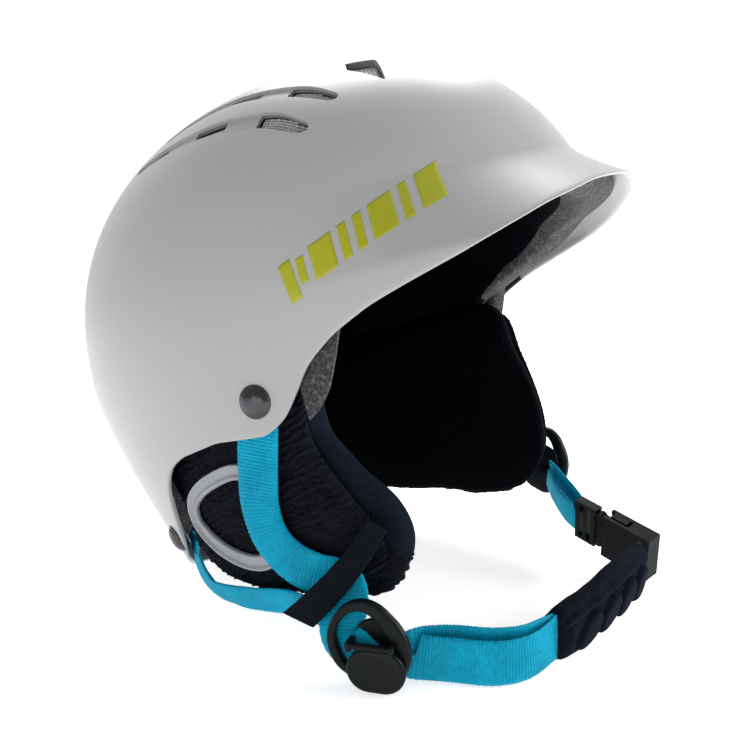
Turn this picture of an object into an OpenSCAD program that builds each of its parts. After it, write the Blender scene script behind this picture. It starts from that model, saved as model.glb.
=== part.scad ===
// Hard-shell sports helmet with a short integral peak, soft ear flaps and a webbing chin strap.
// Millimetres. +Z is up, -Y is the wearer's front, +X is the wearer's left.
// The helmet stands on the middle of its nape edge and on the right strap divider: the plane
// Z = 0 is that table, and the origin is the middle of the flat under the nape edge.
// Two frames are used below. The row frame is the one above. The shell frame is the wearer's
// own, level with the head: helmet_frame() tips it nose-up and lifts it onto the table.
// A place on the dome is (u, z): u is the angle round the head from the front, towards the
// wearer's left, and z is the height in the shell frame.

/* [Shell] */
// Half of the shell's width at the temples
shell_half_w = 105; // [100:0.5:108]
// Distance from the head's axis to the front of the dome, without the peak
shell_front = 145.5; // [140:0.5:148]
// Distance from the head's axis to the back of the dome
shell_rear = 138.5; // [134:0.5:142]
// Height of the crown above the head's widest level
shell_top = 122; // [118:0.5:125]
// Wall of the moulded shell
shell_wall = 3; // [2.4:0.1:3.5]
// How far the peak stands out at the front
peak_reach = 22; // [18:0.5:26]
// Nose-up angle at which the helmet stands
stand_pitch = 17; // [15:0.5:19]

/* [Liner] */
// Thickness of the shell and the foam together
foam_depth = 23; // [21:0.5:25]
// Thickness of a comfort pad
pad_depth = 7; // [5:0.5:8]
// Half thickness of the outer ear pad
ear_half = 5; // [4:0.5:6]

/* [Straps] */
// Width of the webbing
webbing_w = 19; // [17:0.5:20]
// Thickness of the webbing
webbing_t = 1.5; // [1.2:0.1:1.8]
// Width of the elastic keeper on each ear pad
keeper_w = 13; // [10:0.5:14]

/* [Fasteners] */
// Diameter of a rivet's domed cap
rivet_d = 14; // [12:0.5:15]
// Diameter of a rivet's shank
rivet_shank_d = 5; // [4:0.5:5]

/* [Buckle] */
// Length of the closed buckle
buckle_len = 47; // [45:0.5:49]
// Width of the buckle socket
buckle_w = 25; // [24.5:0.5:28]
// Thickness of the buckle socket
buckle_t = 9; // [8.5:0.5:10]
// Travel of the tongue out of the socket
release_travel = 22; // [18:1:24]

/* [Hidden] */

// Where the shell frame stands in the row frame
foot_y = -66;
table_z = 126;

// Dome
plan_power = 1.9;
dome_power = 2.3;
crown_forward = 8.5;
peak_spread = 40;
peak_power = 2.6;
peak_top = 50;
peak_level = 28;
peak_curve = 1.35;
nape_tuck = 0.26;
tuck_power = 1.45;

// Grids of the shell's and the foam's meshes: steps round the head, and steps from crown to rim
shell_grid = [76, 12];
foam_grid = [60, 11];

// Height of the shell's rim, and of the foam's lower edge, at angles from the front
rim_knots = [
    [0, 32.5], [12, 30.5], [23, 24.7], [38, 13.6], [51, 5.2], [59, -2], [65.5, -11], [69, -20], [73.4, -29.4],
    [79, -34.4], [93, -32.6], [107, -36], [113, -40], [117, -46], [120.5, -55], [125, -75],
    [131, -84], [145, -94], [165, -101], [180, -103.3]
];
foam_knots = [
    [0, 38], [30, 27], [45, 13.5], [56, 4], [62, -3], [66, -10], [70, -13], [134, -13], [140, -30],
    [147, -70], [155, -86], [180, -95]
];

// Vents on the right of the dome, as (u, z) along their middles, and half widths there
side_vent = [[-55, 81], [-61, 87.5], [-67, 91], [-80, 95], [-93, 96.2], [-109, 96.3], [-125, 95]];
side_vent_r = [3.2, 4.2, 4, 3.1, 2.5, 2.7, 2.2];
top_vent = [[-45, 91.8], [-50, 97.5], [-56, 101.5], [-68, 106], [-84, 108.4], [-104, 107.6], [-118, 105]];
top_vent_r = [3, 4, 3.8, 3.2, 3, 2.6, 2];
// Outer and inner ends of the right front vent: front corner and rear corner of each
front_vent = [[-30, 93.5], [-35, 105], [-17, 118], [-14.7, 113.4]];
// Each long vent is open over these stretches of its points, and bridged between them
vent_open = [[0, 2], [3, 4], [5, 6]];
bridge_recess = 1.8;
mesh_level = 6;
// Glue gap between the shell and the foam
foam_gap = 1.9;
mesh_t = 0.6;

// Rivets, as (u, z)
side_rivet_at = [-79.2, -20.9];
rear_rivet_at = [-131, -76];

// Ear pads, in the side view of the shell frame: y to the rear, z up
ear_width = 86;
ear_front = 140;
ear_back = 108;
ear_outline = [
    [-28, -17], [-30, -44], [-38, -66], [-46, -84], [-46, -97], [-36, -104], [-20, -106.5],
    [0, -105.5], [20, -102], [42, -94.5], [55, -83], [58, -66], [56, -46], [50, -22], [40, -15], [5, -14]
];
cushion_outline = [
    [-29, -18], [-34, -40], [-44, -60], [-53, -76], [-55, -92], [-48, -106], [-35, -114], [-18, -113],
    [2, -108], [22, -101], [40, -94], [50, -82], [52, -62], [50, -42], [44, -22], [5, -15]
];
// The left flap hangs further forward and higher
left_ear_outline = [
    [-66, -15], [-72, -40], [-70, -74], [-66, -90], [-55, -101], [-40, -107], [-18, -105],
    [4, -98], [26, -92], [46, -86], [58, -74], [60, -56], [56, -34], [48, -17], [-10, -15]
];
left_cushion_outline = [
    [-68, -12], [-73, -40], [-71, -74], [-66, -92], [-53, -107], [-38, -111], [-18, -109],
    [4, -100], [26, -94], [44, -87], [54, -74], [55, -56], [52, -34], [45, -16], [-10, -12]
];
ring_path = [
    [42, -60], [34, -54], [22, -50], [9, -48], [0, -51], [-3.5, -60], [-3.5, -74], [0, -85], [8, -89],
    [20, -86.5], [33, -79], [42, -69]
];
// How far the left ring sits from the right one's place, to the rear and up
left_ring_shift = [-8, 4];
ear_lift = 11.8;

// Side straps in the shell frame. The front one is (y, z) on the ear pad's face.
front_strap = [
    [-17.6, -15.5], [-12.5, -32], [-6, -50], [-2, -64], [-2.5, -78], [-9, -89], [-19, -96.5], [-30, -103]
];
rear_strap = [
    [-69, 63, -77.5], [-68.8, 65.3, -87], [-72, 60.5, -95.5], [-77.5, 50, -101.5], [-83.5, 36, -104.5],
    [-88, 16, -106.5], [-91.5, -2, -108.2], [-95.5, -17, -112]
];
left_front_strap = [
    [-17.8, -15.5], [-14.5, -32], [-12, -48], [-13.5, -62], [-19, -75], [-28, -85], [-39, -92.5], [-47, -97]
];
left_rear_strap = [
    [-69, 63, -77.5], [-70, 63.5, -84], [-76.5, 56, -87.5], [-84.5, 41, -90], [-90, 22, -92], [-92.5, 3, -94.5],
    [-94, -16, -99], [-95, -34, -102.5]
];
keeper_path = [[-50, -81], [-41.5, -90], [-31, -99], [-19, -107], [-8, -113]];
keeper_lift = [10, 12.8, 17, 21, 21.6];
left_keeper_path = [[-60, -72], [-52, -80], [-40, -88.5], [-29, -95.5], [-19, -101.5]];

// Dividers in the row frame: place, nose-up tilt and yaw
divider_right_at = [-99.5, -142, 16];
divider_left_at = [98, -149, 43];
divider_yaw = 12;
divider_left_tilt = 18;
divider_t = 4;
ring_points = [[-5, 16.2], [-13.4, 8], [-14.3, 2], [-9.5, -6.5], [10.8, -4.5], [10.2, 4.5]];
disc_at = [2.5, -6.2];
disc_r = 9;
disc_stretch = 3.1;
disc_t = 3;
lever_axis = [2.8, 4.2];
pin_r = 1.1;
pin_gap = 0.06;

// Chin strap in the row frame
chin_path = [
    [-88.2, -153.6, 12], [-84.6, -158.5, 12], [-80, -168, 12], [-75, -183, 12], [-66, -193.5, 12.4],
    [-52.5, -199.5, 13.6]
];
chin_loop_gap = 3.4;
// How much higher the inner layer of the loop lies than the outer one, at mid length
chin_loop_rise = 3.4;
pad_path = [
    [-50, -200.8, 13.8], [-36, -204.4, 14.6], [-18, -208.6, 15.8], [0, -212.2, 17.2], [18, -215.2, 18.4],
    [34, -217.2, 19.4]
];
pad_w = 28;
pad_t = 16.5;
left_path = [[85, -157, 41], [79, -163, 36], [71, -171, 31.5], [66, -176.5, 28.8]];
swing_pivot = [-97, -141, 12];

// Buckle in its own frame: +X from the tongue's webbing end to the socket's, Z across the width
buckle_at = [63.5, -179.3, 26.9];
buckle_yaw = -112.5;
buckle_tilt = 11.5;
buckle_roll = 15;
socket_from = 19;
socket_wall = 1.6;
prong_pivot_x = 15;
prong_z = 8;

// ---- functions ----

function clamp01(v) = max(0, min(1, v));
function unit(v) = v / norm(v);
function from_front(u) = abs(u - 360 * round(u / 360));

function plan_r(u) =
    let (reach = cos(u) > 0 ? shell_front : shell_rear)
    pow(pow(abs(sin(u)) / shell_half_w, plan_power) + pow(abs(cos(u)) / reach, plan_power), -1 / plan_power);

function peak_r(u, z) =
    peak_reach * exp(-pow(from_front(u) / peak_spread, peak_power))
    * pow(min(1.5, max(0, (peak_top - z) / (peak_top - peak_level))), peak_curve);

function level_share(u, z) =
    z > 0 ? pow(max(0, 1 - pow(z / shell_top, dome_power)), 1 / dome_power)
          : 1 - nape_tuck * pow((1 - cos(u)) / 2, 2.5) * pow(-z / 100, tuck_power);

// Outer face of the dome at angle u and height z
function dome(u, z) =
    let (r = plan_r(u) * level_share(u, z) + peak_r(u, z))
    [r * sin(u), -r * cos(u) - crown_forward * pow(max(z, 0) / shell_top, 2), z];

// A point of the dome moved inwards, towards the middle of the head
function inward(p, depth) = p * (1 - depth / norm(p));

function dome_normal(u, z) =
    let (a = dome(u + 1, z) - dome(u - 1, z), b = dome(u, z + 1) - dome(u, z - 1)) unit(cross(a, b));

// Heights from the crown down to a lower edge, for one angle
function drop(low_z, t) = shell_top * cos(t * acos(low_z / shell_top));

// Rows of points round the head, from the crown to an edge given by knots
function dome_rows(knots, depth, grid) = [
    for (j = [0 : grid[1]])
        let (t = (j + 0.5) / (grid[1] + 0.5))
        [for (i = [0 : grid[0] - 1])
            let (u = i * 360 / grid[0])
            inward(dome(u, drop(lookup(from_front(u), knots), t)), depth)]
];

function reversed(list) = [for (i = [len(list) - 1 : -1 : 0]) list[i]];

// Catmull-Rom curve through points, with steps on each stretch
function curve_at(p, i, t, closed) =
    let (
        n = len(p),
        at = function (k) closed ? p[(k + n) % n] : p[max(0, min(n - 1, k))],
        a = at(i - 1), b = at(i), c = at(i + 1), d = at(i + 2)
    )
    0.5 * (2 * b + (c - a) * t + (2 * a - 5 * b + 4 * c - d) * t * t + (3 * b - a - 3 * c + d) * t * t * t);

function curve(p, steps, closed = false) = [
    for (i = [0 : len(p) - (closed ? 1 : 2)]) for (s = [0 : steps - 1]) curve_at(p, i, s / steps, closed),
    if (!closed) p[len(p) - 1]
];

// Middle of the ear flap in the shell frame: distance from the mid-plane at (y, z)
function ear_x(y, z) =
    (ear_width - 0.06 * max(0, -z - 30)) * sqrt(max(0.05, 1 - pow(y / (y < 0 ? ear_front : ear_back), 2)));
function ear_point(p, lift) = [-ear_x(p[0], p[1]) - lift, p[0], p[1]];

// Ring of four corners of a flat band at each point of its path
function band_rings(path, normals, w, t) = [
    for (i = [0 : len(path) - 1])
        let (
            ahead = unit(path[min(len(path) - 1, i + 1)] - path[max(0, i - 1)]),
            side = unit(cross(ahead, normals[i])),
            out = unit(cross(side, ahead))
        )
        [path[i] + side * w / 2 - out * t / 2, path[i] - side * w / 2 - out * t / 2,
         path[i] - side * w / 2 + out * t / 2, path[i] + side * w / 2 + out * t / 2]
];

// ---- general shapes ----

// Closed skin over rings of points. The ends are closed by fans to their middles.
module skin(rings) {
    n = len(rings[0]);
    m = len(rings);
    first = [for (k = [0 : 2]) [for (p = rings[0]) p[k]] * [for (p = rings[0]) 1 / n]];
    last = [for (k = [0 : 2]) [for (p = rings[m - 1]) p[k]] * [for (p = rings[0]) 1 / n]];
    points = [for (r = rings) each r, first, last];
    sides = [
        for (j = [0 : m - 2]) for (i = [0 : n - 1])
            let (a = j * n + i, b = j * n + (i + 1) % n)
            each [[a, b, b + n], [a, b + n, a + n]]
    ];
    caps = [
        for (i = [0 : n - 1]) each [
            [m * n, (i + 1) % n, i],
            [m * n + 1, (m - 1) * n + i, (m - 1) * n + (i + 1) % n]
        ]
    ];
    polyhedron(points = points, faces = concat(sides, caps));
}

// Closed loop of rings, such as a ring of round section
module loop_skin(rings) {
    n = len(rings[0]);
    m = len(rings);
    faces = [
        for (j = [0 : m - 1]) for (i = [0 : n - 1])
            let (a = j * n + i, b = j * n + (i + 1) % n, c = (j + 1) % m * n + (i + 1) % n, d = (j + 1) % m * n + i)
            each [[a, b, c], [a, c, d]]
    ];
    polyhedron(points = [for (r = rings) each r], faces = faces);
}

// Flat band of webbing along a path
module band(path, normals, w, t) {
    skin(band_rings(path, normals, w, t));
}

// Soft pillow over an outline in the side view, following the ear flap's curve
module ear_pillow(outline, lift, half) {
    edge = curve(outline, 2, closed = true);
    n = len(edge);
    middle = [for (k = [0 : 1]) [for (p = edge) p[k]] * [for (p = edge) 1 / n]];
    shares = [0.25, 0.55, 0.8, 0.95];
    ring_at = function (s, side) [
        for (p = edge)
            let (q = middle + (p - middle) * s)
            ear_point(q, lift + side * half * pow(1 - pow(s, 3), 0.55))
    ];
    skin([
        for (s = shares) ring_at(s, 1),
        ring_at(1, 0),
        for (s = reversed(shares)) ring_at(s, -1)
    ]);
}

// Pad on the inside of the foam, over a stretch of angles and heights
module dome_pad(u0, u1, z0, z1) {
    steps = 6;
    share = [for (k = [0 : steps]) k / steps];
    // Outline points first run round the patch, then step in towards its middle
    ring_at = function (s, depth) [
        for (k = [0 : 4 * steps - 1])
            let (
                side = floor(k / steps),
                f = share[k % steps],
                a = side == 0 ? f : side == 1 ? 1 : side == 2 ? 1 - f : 0,
                b = side == 0 ? 0 : side == 1 ? f : side == 2 ? 1 : 1 - f,
                u = (u0 + u1) / 2 + (u1 - u0) * (a - 0.5) * s,
                z = (z0 + z1) / 2 + (z1 - z0) * (b - 0.5) * s
            )
            inward(dome(u, z), depth)
    ];
    back = foam_depth + 0.7;
    skin([
        ring_at(0.3, back), ring_at(0.97, back), ring_at(1, back + pad_depth * 0.4),
        ring_at(0.9, back + pad_depth * 0.85), ring_at(0.5, back + pad_depth), ring_at(0.1, back + pad_depth)
    ]);
}

// Turns +Z onto the dome's normal at (u, z) and moves there
module on_dome(place, depth = 0) {
    n = dome_normal(place[0], place[1]);
    translate(dome(place[0], place[1]) - n * depth)
        rotate([0, acos(n[2]), atan2(n[1], n[0])])
            children();
}

module helmet_frame() {
    translate([0, foot_y, table_z]) rotate([-stand_pitch, 0, 0]) children();
}

// ---- shell and foam ----

// Stretch of a vent from its point i to point j, between two depths under the surface
module vent_stretch(vent, radii, i, j, grow, top, bottom) {
    for (k = [i : j - 1])
        hull() {
            on_dome(vent[k], bottom) cylinder(r = radii[k] + grow, h = top + bottom, $fn = 16);
            on_dome(vent[k + 1], bottom) cylinder(r = radii[k + 1] + grow, h = top + bottom, $fn = 16);
        }
}

module front_vent_hole(grow, top, bottom) {
    hull()
        for (corner = front_vent)
            on_dome(corner, bottom) cylinder(r = 1.2 + grow, h = top + bottom, $fn = 12);
}

// What the three vents of one side take out of the shell: a shallow trough, and the openings in it
module shell_vent_cuts() {
    vent_stretch(side_vent, side_vent_r, 0, 6, 0, 3, bridge_recess);
    vent_stretch(top_vent, top_vent_r, 0, 6, 0, 3, bridge_recess);
    for (s = vent_open) {
        vent_stretch(side_vent, side_vent_r, s[0], s[1], -0.2, 3, 8);
        vent_stretch(top_vent, top_vent_r, s[0], s[1], -0.2, 3, 8);
    }
    front_vent_hole(0, 3, 8);
}

// What they take out of the foam: a seat for the mesh, and a narrower air way below it
module foam_vent_cuts() {
    for (s = vent_open) {
        vent_stretch(side_vent, side_vent_r, s[0], s[1], 0.6, 3, mesh_level);
        vent_stretch(top_vent, top_vent_r, s[0], s[1], 0.6, 3, mesh_level);
        vent_stretch(side_vent, side_vent_r, s[0], s[1], -1, 3, foam_depth + 8);
        vent_stretch(top_vent, top_vent_r, s[0], s[1], -1, 3, foam_depth + 8);
    }
    front_vent_hole(0.6, 3, mesh_level);
    front_vent_hole(-0.6, 3, foam_depth + 8);
}

module outer_shell() {
    color("whitesmoke")
        difference() {
            helmet_frame() {
                difference() {
                    skin(concat(dome_rows(rim_knots, 0, shell_grid), reversed(dome_rows(rim_knots, shell_wall, shell_grid))));
                    for (side = [0, 1]) mirror([side, 0, 0]) {
                        shell_vent_cuts();
                        on_dome(side_rivet_at, 12) cylinder(d = rivet_shank_d + 0.2, h = 20, $fn = 24);
                        on_dome(rear_rivet_at, 12) cylinder(d = rivet_shank_d + 0.2, h = 20, $fn = 24);
                    }
                }
            }
            translate([-150, -100, -60]) cube([300, 200, 60]);
        }
}

module foam_liner() {
    outer = shell_wall + foam_gap;
    color("dimgray")
        helmet_frame()
            difference() {
                skin(concat(dome_rows(foam_knots, outer, foam_grid), reversed(dome_rows(foam_knots, foam_depth, foam_grid))));
                for (side = [0, 1]) mirror([side, 0, 0]) foam_vent_cuts();
            }
}

// Mesh under the openings of one side's two long vents
module vent_mesh(side) {
    color("silver")
        helmet_frame()
            mirror([side, 0, 0])
                for (s = vent_open) {
                    vent_stretch(side_vent, side_vent_r, s[0], s[1], 0.3, mesh_t - mesh_level + 0.1, mesh_level - 0.1);
                    vent_stretch(top_vent, top_vent_r, s[0], s[1], 0.3, mesh_t - mesh_level + 0.1, mesh_level - 0.1);
                }
}

module vent_mesh_front() {
    color("silver")
        helmet_frame()
            for (side = [0, 1]) mirror([side, 0, 0])
                front_vent_hole(0.3, mesh_t - mesh_level + 0.1, mesh_level - 0.1);
}

// ---- rivets ----

// Domed cap on the shell, with a shank that reaches inside
module rivet(place) {
    cap_h = 2.6;
    cap_r = rivet_d / 2;
    ball_r = (cap_r * cap_r + cap_h * cap_h) / (2 * cap_h);
    color("dimgray")
        helmet_frame()
            on_dome(place, 0) {
                translate([0, 0, 0.4])
                    intersection() {
                        translate([0, 0, cap_h - ball_r]) sphere(r = ball_r, $fn = 64);
                        cylinder(r = cap_r, h = cap_h, $fn = 64);
                    }
                translate([0, 0, -5]) cylinder(d = rivet_shank_d, h = 5.8, $fn = 32);
            }
}

module rivet_washers() {
    color("gray")
        helmet_frame()
            for (side = [0, 1]) mirror([side, 0, 0])
                for (place = [side_rivet_at, rear_rivet_at])
                    on_dome(place, 4.3)
                        difference() {
                            cylinder(r = 6, h = 0.9, $fn = 48);
                            translate([0, 0, -1]) cylinder(d = rivet_shank_d + 0.1, h = 3, $fn = 48);
                        }
}

// ---- inside pads ----

module crown_pad() {
    rows = [[9, 0.1], [42, 0.1], [45, 0.25], [40, 0.85], [20, 1], [6, 1]];
    color("black")
        helmet_frame()
            skin([
                for (row = rows)
                    [for (u = [0 : 15 : 345])
                        inward(dome(u, shell_top * cos(row[0] * 1.1)), foam_depth + 0.7 + (row[1] - 0.1) / 0.9 * pad_depth)]
            ]);
}

module brow_pad() {
    color("black") helmet_frame() dome_pad(-50, 50, 40, 64);
}

module side_pad(side) {
    color("black") helmet_frame() mirror([side, 0, 0]) dome_pad(-118, -70, -6, 40);
}

module nape_pad() {
    color("black") helmet_frame() dome_pad(152, 208, -84, -44);
}

// ---- ear flaps ----

module ear_pad(side) {
    color("black")
        helmet_frame() mirror([side, 0, 0])
            ear_pillow(side == 0 ? ear_outline : left_ear_outline, 3.2, ear_half);
}

module ear_cushion(side) {
    color("darkslategray")
        helmet_frame() mirror([side, 0, 0])
            ear_pillow(side == 0 ? cushion_outline : left_cushion_outline, -7.6, ear_half + 0.5);
}

// Raised oval ring on the outer ear pad
module ear_ring(side) {
    path = curve([for (p = ring_path) p + side * left_ring_shift], 3, closed = true);
    n = len(path);
    color("silver")
        helmet_frame() mirror([side, 0, 0])
            loop_skin([
                for (i = [0 : n - 1])
                    let (
                        ahead = unit(path[(i + 1) % n] - path[(i + n - 1) % n]),
                        out = [ahead[1], -ahead[0]]
                    )
                    [for (a = [0 : 45 : 315])
                        ear_point(path[i] + out * 3 * cos(a), 9.4 + 1.1 * sin(a))]
            ]);
}

// ---- side straps ----

module front_webbing(side) {
    path = curve([for (p = side == 0 ? front_strap : left_front_strap) ear_point(p, ear_lift)], 3);
    color("deepskyblue")
        helmet_frame() mirror([side, 0, 0]) band(path, [for (p = path) [-1, 0, 0]], webbing_w, webbing_t);
}

// The rear strap turns from the nape's wall to lie under the ear flap
module rear_webbing(side) {
    path = curve(side == 0 ? rear_strap : left_rear_strap, 3);
    last = len(path) - 1;
    normals = [
        for (i = [0 : last])
            let (f = clamp01((i / last - 0.15) / 0.35), g = clamp01((i / last - 0.75) / 0.25))
            unit([-0.75, 0.65, 0] * (1 - f) + ([-0.82, 0, -0.55] * (1 - g) + [-0.9, 0, -0.4] * g) * f)
    ];
    color("deepskyblue")
        helmet_frame() mirror([side, 0, 0]) band(path, normals, webbing_w - 1, webbing_t);
}

module strap_keeper(side) {
    places = side == 0 ? keeper_path : left_keeper_path;
    points = [for (i = [0 : len(places) - 1]) ear_point(places[i], keeper_lift[i])];
    path = curve(points, 3);
    color("black")
        helmet_frame() mirror([side, 0, 0]) band(path, [for (p = path) [-1, 0, 0]], keeper_w, 1.2);
}

// ---- dividers ----
// Built flat: X forward along the strap, Y up, Z outwards from the head

module divider_place(side) {
    if (side == 0)
        translate(divider_right_at) rotate([0, 0, divider_yaw]) rotate([90, 0, -90]) children();
    else
        translate(divider_left_at) mirror([1, 0, 0])
            rotate([divider_left_tilt, 0, divider_yaw]) rotate([90, 0, -90]) children();
}

// Oval thumb disc, from exact pieces
module oval_disc(grow, t) {
    for (x = [-disc_stretch, disc_stretch]) translate([x, 0, 0]) cylinder(r = disc_r + grow, h = t, $fn = 64);
    translate([-disc_stretch, -disc_r - grow, 0]) cube([2 * disc_stretch, 2 * (disc_r + grow), t]);
}

module divider(side) {
    lug_l = 2.5;
    color("#191c20")
        divider_place(side)
            difference() {
                union() {
                    translate([0, 0, -divider_t / 2])
                        linear_extrude(divider_t)
                            difference() {
                                offset(r = 4.6, $fn = 40) polygon(ring_points);
                                offset(r = 1.1, $fn = 40) polygon(ring_points);
                            }
                    translate([-13.5, 0.6, -divider_t / 2]) cube([21, 4.6, divider_t]);
                    translate([disc_at[0], disc_at[1], -divider_t / 2 - disc_t + 0.6]) oval_disc(-0.6, disc_t);
                    for (x = [-10, 7]) translate([x, 0.8, 1.5]) cube([lug_l, 4, 4.6]);
                }
                translate([-12, lever_axis[0], lever_axis[1]]) rotate([0, 90, 0]) cylinder(r = pin_r, h = 30, $fn = 48);
            }
}

module lever_pin(side) {
    color("gray")
        divider_place(side)
            translate([-10.4, lever_axis[0], lever_axis[1]]) rotate([0, 90, 0]) cylinder(r = pin_r, h = 20.3, $fn = 48);
}

// Round thumb lever that pinches the strap. Its knuckle turns on the pin between the lugs.
module lock_lever(side) {
    color("#23262a")
        divider_place(side)
            difference() {
                union() {
                    translate([disc_at[0], disc_at[1], 2.9]) oval_disc(0, disc_t);
                    translate([-7.1, lever_axis[0], lever_axis[1]]) rotate([0, 90, 0]) cylinder(r = 1.9, h = 13.7, $fn = 48);
                    translate([-7.1, -2, 2.9]) cube([13.7, 4.6, 1.6]);
                }
                translate([-12, lever_axis[0], lever_axis[1]])
                    rotate([0, 90, 0]) cylinder(r = pin_r + pin_gap, h = 30, $fn = 48);
                for (x = [-10.3, 6.7])
                    translate([x, lever_axis[0], lever_axis[1]]) rotate([0, 90, 0]) cylinder(r = 3.2, h = 3.2, $fn = 48);
            }
}

// ---- chin strap ----

// Two layers of webbing that part in the middle and meet at both ends
module chin_webbing_right() {
    path = curve(chin_path, 4);
    last = len(path) - 1;
    normals = [
        for (i = [0 : last])
            let (a = path[min(last, i + 1)] - path[max(0, i - 1)]) unit([a[1], -a[0], 0])
    ];
    gap = function (i) 1.1 + chin_loop_gap * sin(180 * i / last);
    rise = function (i) chin_loop_rise * sqrt(sin(180 * i / last));
    color("deepskyblue")
        for (layer = [-1, 1])
            band(
                [for (i = [0 : last]) path[i] + normals[i] * layer * gap(i) / 2 - [0, 0, layer * rise(i) / 2]],
                normals, webbing_w, webbing_t * 0.6
            );
}

module chin_webbing_left() {
    path = curve(left_path, 4);
    color("deepskyblue") band(path, [for (p = path) unit([0.68, -0.62, 0.4])], webbing_w - 2, webbing_t);
}

// Padded sleeve round the chin webbing
module chin_pad() {
    path = curve(pad_path, 3);
    last = len(path) - 1;
    color("black")
        skin([
            for (i = [0 : last])
                let (
                    ahead = unit(path[min(last, i + 1)] - path[max(0, i - 1)]),
                    out = unit([ahead[1], -ahead[0], 0]),
                    up = unit(cross(out, ahead)),
                    swell = i == 0 || i == last ? 0.8 : 1
                )
                [for (a = [0 : 30 : 330])
                    path[i] + out * pad_t / 2 * swell * cos(a) - up * pad_w / 2 * swell * sin(a)]
        ]);
}

// ---- buckle ----

module buckle_frame() {
    translate(buckle_at) rotate([buckle_roll, buckle_tilt, buckle_yaw]) children();
}

// Body with a mouth for the tongue, open side windows and a bar for the webbing
module buckle_socket() {
    length = buckle_len - socket_from;
    mouth = 19;
    color("#15171a")
        buckle_frame()
            difference() {
                translate([socket_from, -buckle_t / 2, -buckle_w / 2]) cube([length, buckle_t, buckle_w]);
                translate([socket_from - 1, -buckle_t / 2 + socket_wall, -buckle_w / 2 + socket_wall])
                    cube([mouth, buckle_t - 2 * socket_wall, buckle_w - 2 * socket_wall]);
                for (side = [-1, 1])
                    translate([socket_from - 1, -2.6, side > 0 ? buckle_w / 2 - 4 : -buckle_w / 2 - 1])
                        cube([15, 5.2, 5]);
                translate([buckle_len - 7, -buckle_t, -webbing_w / 2 - 0.6]) cube([3, 2 * buckle_t, webbing_w + 1.2]);
            }
}

// Tongue with a webbing slot, a centre guide and pivots for the two prongs
module buckle_tongue() {
    color("#15171a")
        buckle_frame()
            difference() {
                union() {
                    translate([0, -2.6, -11.8]) cube([13, 5.2, 23.6]);
                    translate([12, -2, -8.8]) cube([6.4, 4, 17.6]);
                    translate([17, -1.2, -2]) cube([17, 2.4, 4]);
                }
                for (x = [2.6, 7.4]) translate([x, -5, -webbing_w / 2 - 0.6]) cube([2.4, 10, webbing_w + 1.2]);
                for (side = [-1, 1]) {
                    translate([prong_pivot_x, -5, side * prong_z])
                        rotate([-90, 0, 0])
                            cylinder(r = 2.6, h = 10, $fn = 48);
                    translate([prong_pivot_x, -5, side > 0 ? 5.2 : -11.2]) cube([5, 10, 6]);
                }
            }
}

// Spring arm with a thumb shoulder. It bends at its root, drawn here as a pivot.
module prong(side) {
    color("#1b1e22")
        buckle_frame()
            mirror([0, 0, side == 1 ? 1 : 0]) {
                translate([prong_pivot_x, -2, prong_z]) rotate([-90, 0, 0]) cylinder(r = 2.5, h = 4, $fn = 48);
                translate([prong_pivot_x + 1, -1.9, prong_z - 1.4]) cube([18.5, 3.8, 2.6]);
                translate([prong_pivot_x + 7, -1.9, prong_z + 0.8]) cube([9.5, 3.8, 4.2]);
            }
}

outer_shell();
foam_liner();
vent_mesh(0);  // vent_mesh_right
vent_mesh(1);  // vent_mesh_left
vent_mesh_front();
rivet(side_rivet_at);  // side_rivet_right
mirror([1, 0, 0]) rivet(side_rivet_at);  // side_rivet_left
rivet(rear_rivet_at);  // rear_rivet_right
mirror([1, 0, 0]) rivet(rear_rivet_at);  // rear_rivet_left
rivet_washers();
brow_pad();
crown_pad();
side_pad(0);  // side_pad_right
side_pad(1);  // side_pad_left
nape_pad();
ear_pad(0);  // ear_pad_right
ear_pad(1);  // ear_pad_left
ear_cushion(0);  // ear_cushion_right
ear_cushion(1);  // ear_cushion_left
ear_ring(0);  // ear_ring_right
ear_ring(1);  // ear_ring_left
strap_keeper(0);  // strap_keeper_right
strap_keeper(1);  // strap_keeper_left
front_webbing(0);  // front_webbing_right
front_webbing(1);  // front_webbing_left
rear_webbing(0);  // rear_webbing_right
rear_webbing(1);  // rear_webbing_left
divider(0);  // divider_right
divider(1);  // divider_left
lock_lever(0);  // lock_lever_right
lock_lever(1);  // lock_lever_left
lever_pin(0);  // lever_pin_right
lever_pin(1);  // lever_pin_left
chin_webbing_right();
chin_webbing_left();
chin_pad();
buckle_socket();
buckle_tongue();
prong(0);  // prong_upper
prong(1);  // prong_lower
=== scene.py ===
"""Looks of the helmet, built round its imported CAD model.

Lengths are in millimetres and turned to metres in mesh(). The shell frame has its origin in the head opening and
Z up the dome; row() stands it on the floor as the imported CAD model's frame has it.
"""
import math
from functools import partial

import bmesh
import bpy
import numpy as np
from mathutils import Matrix, Vector


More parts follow.
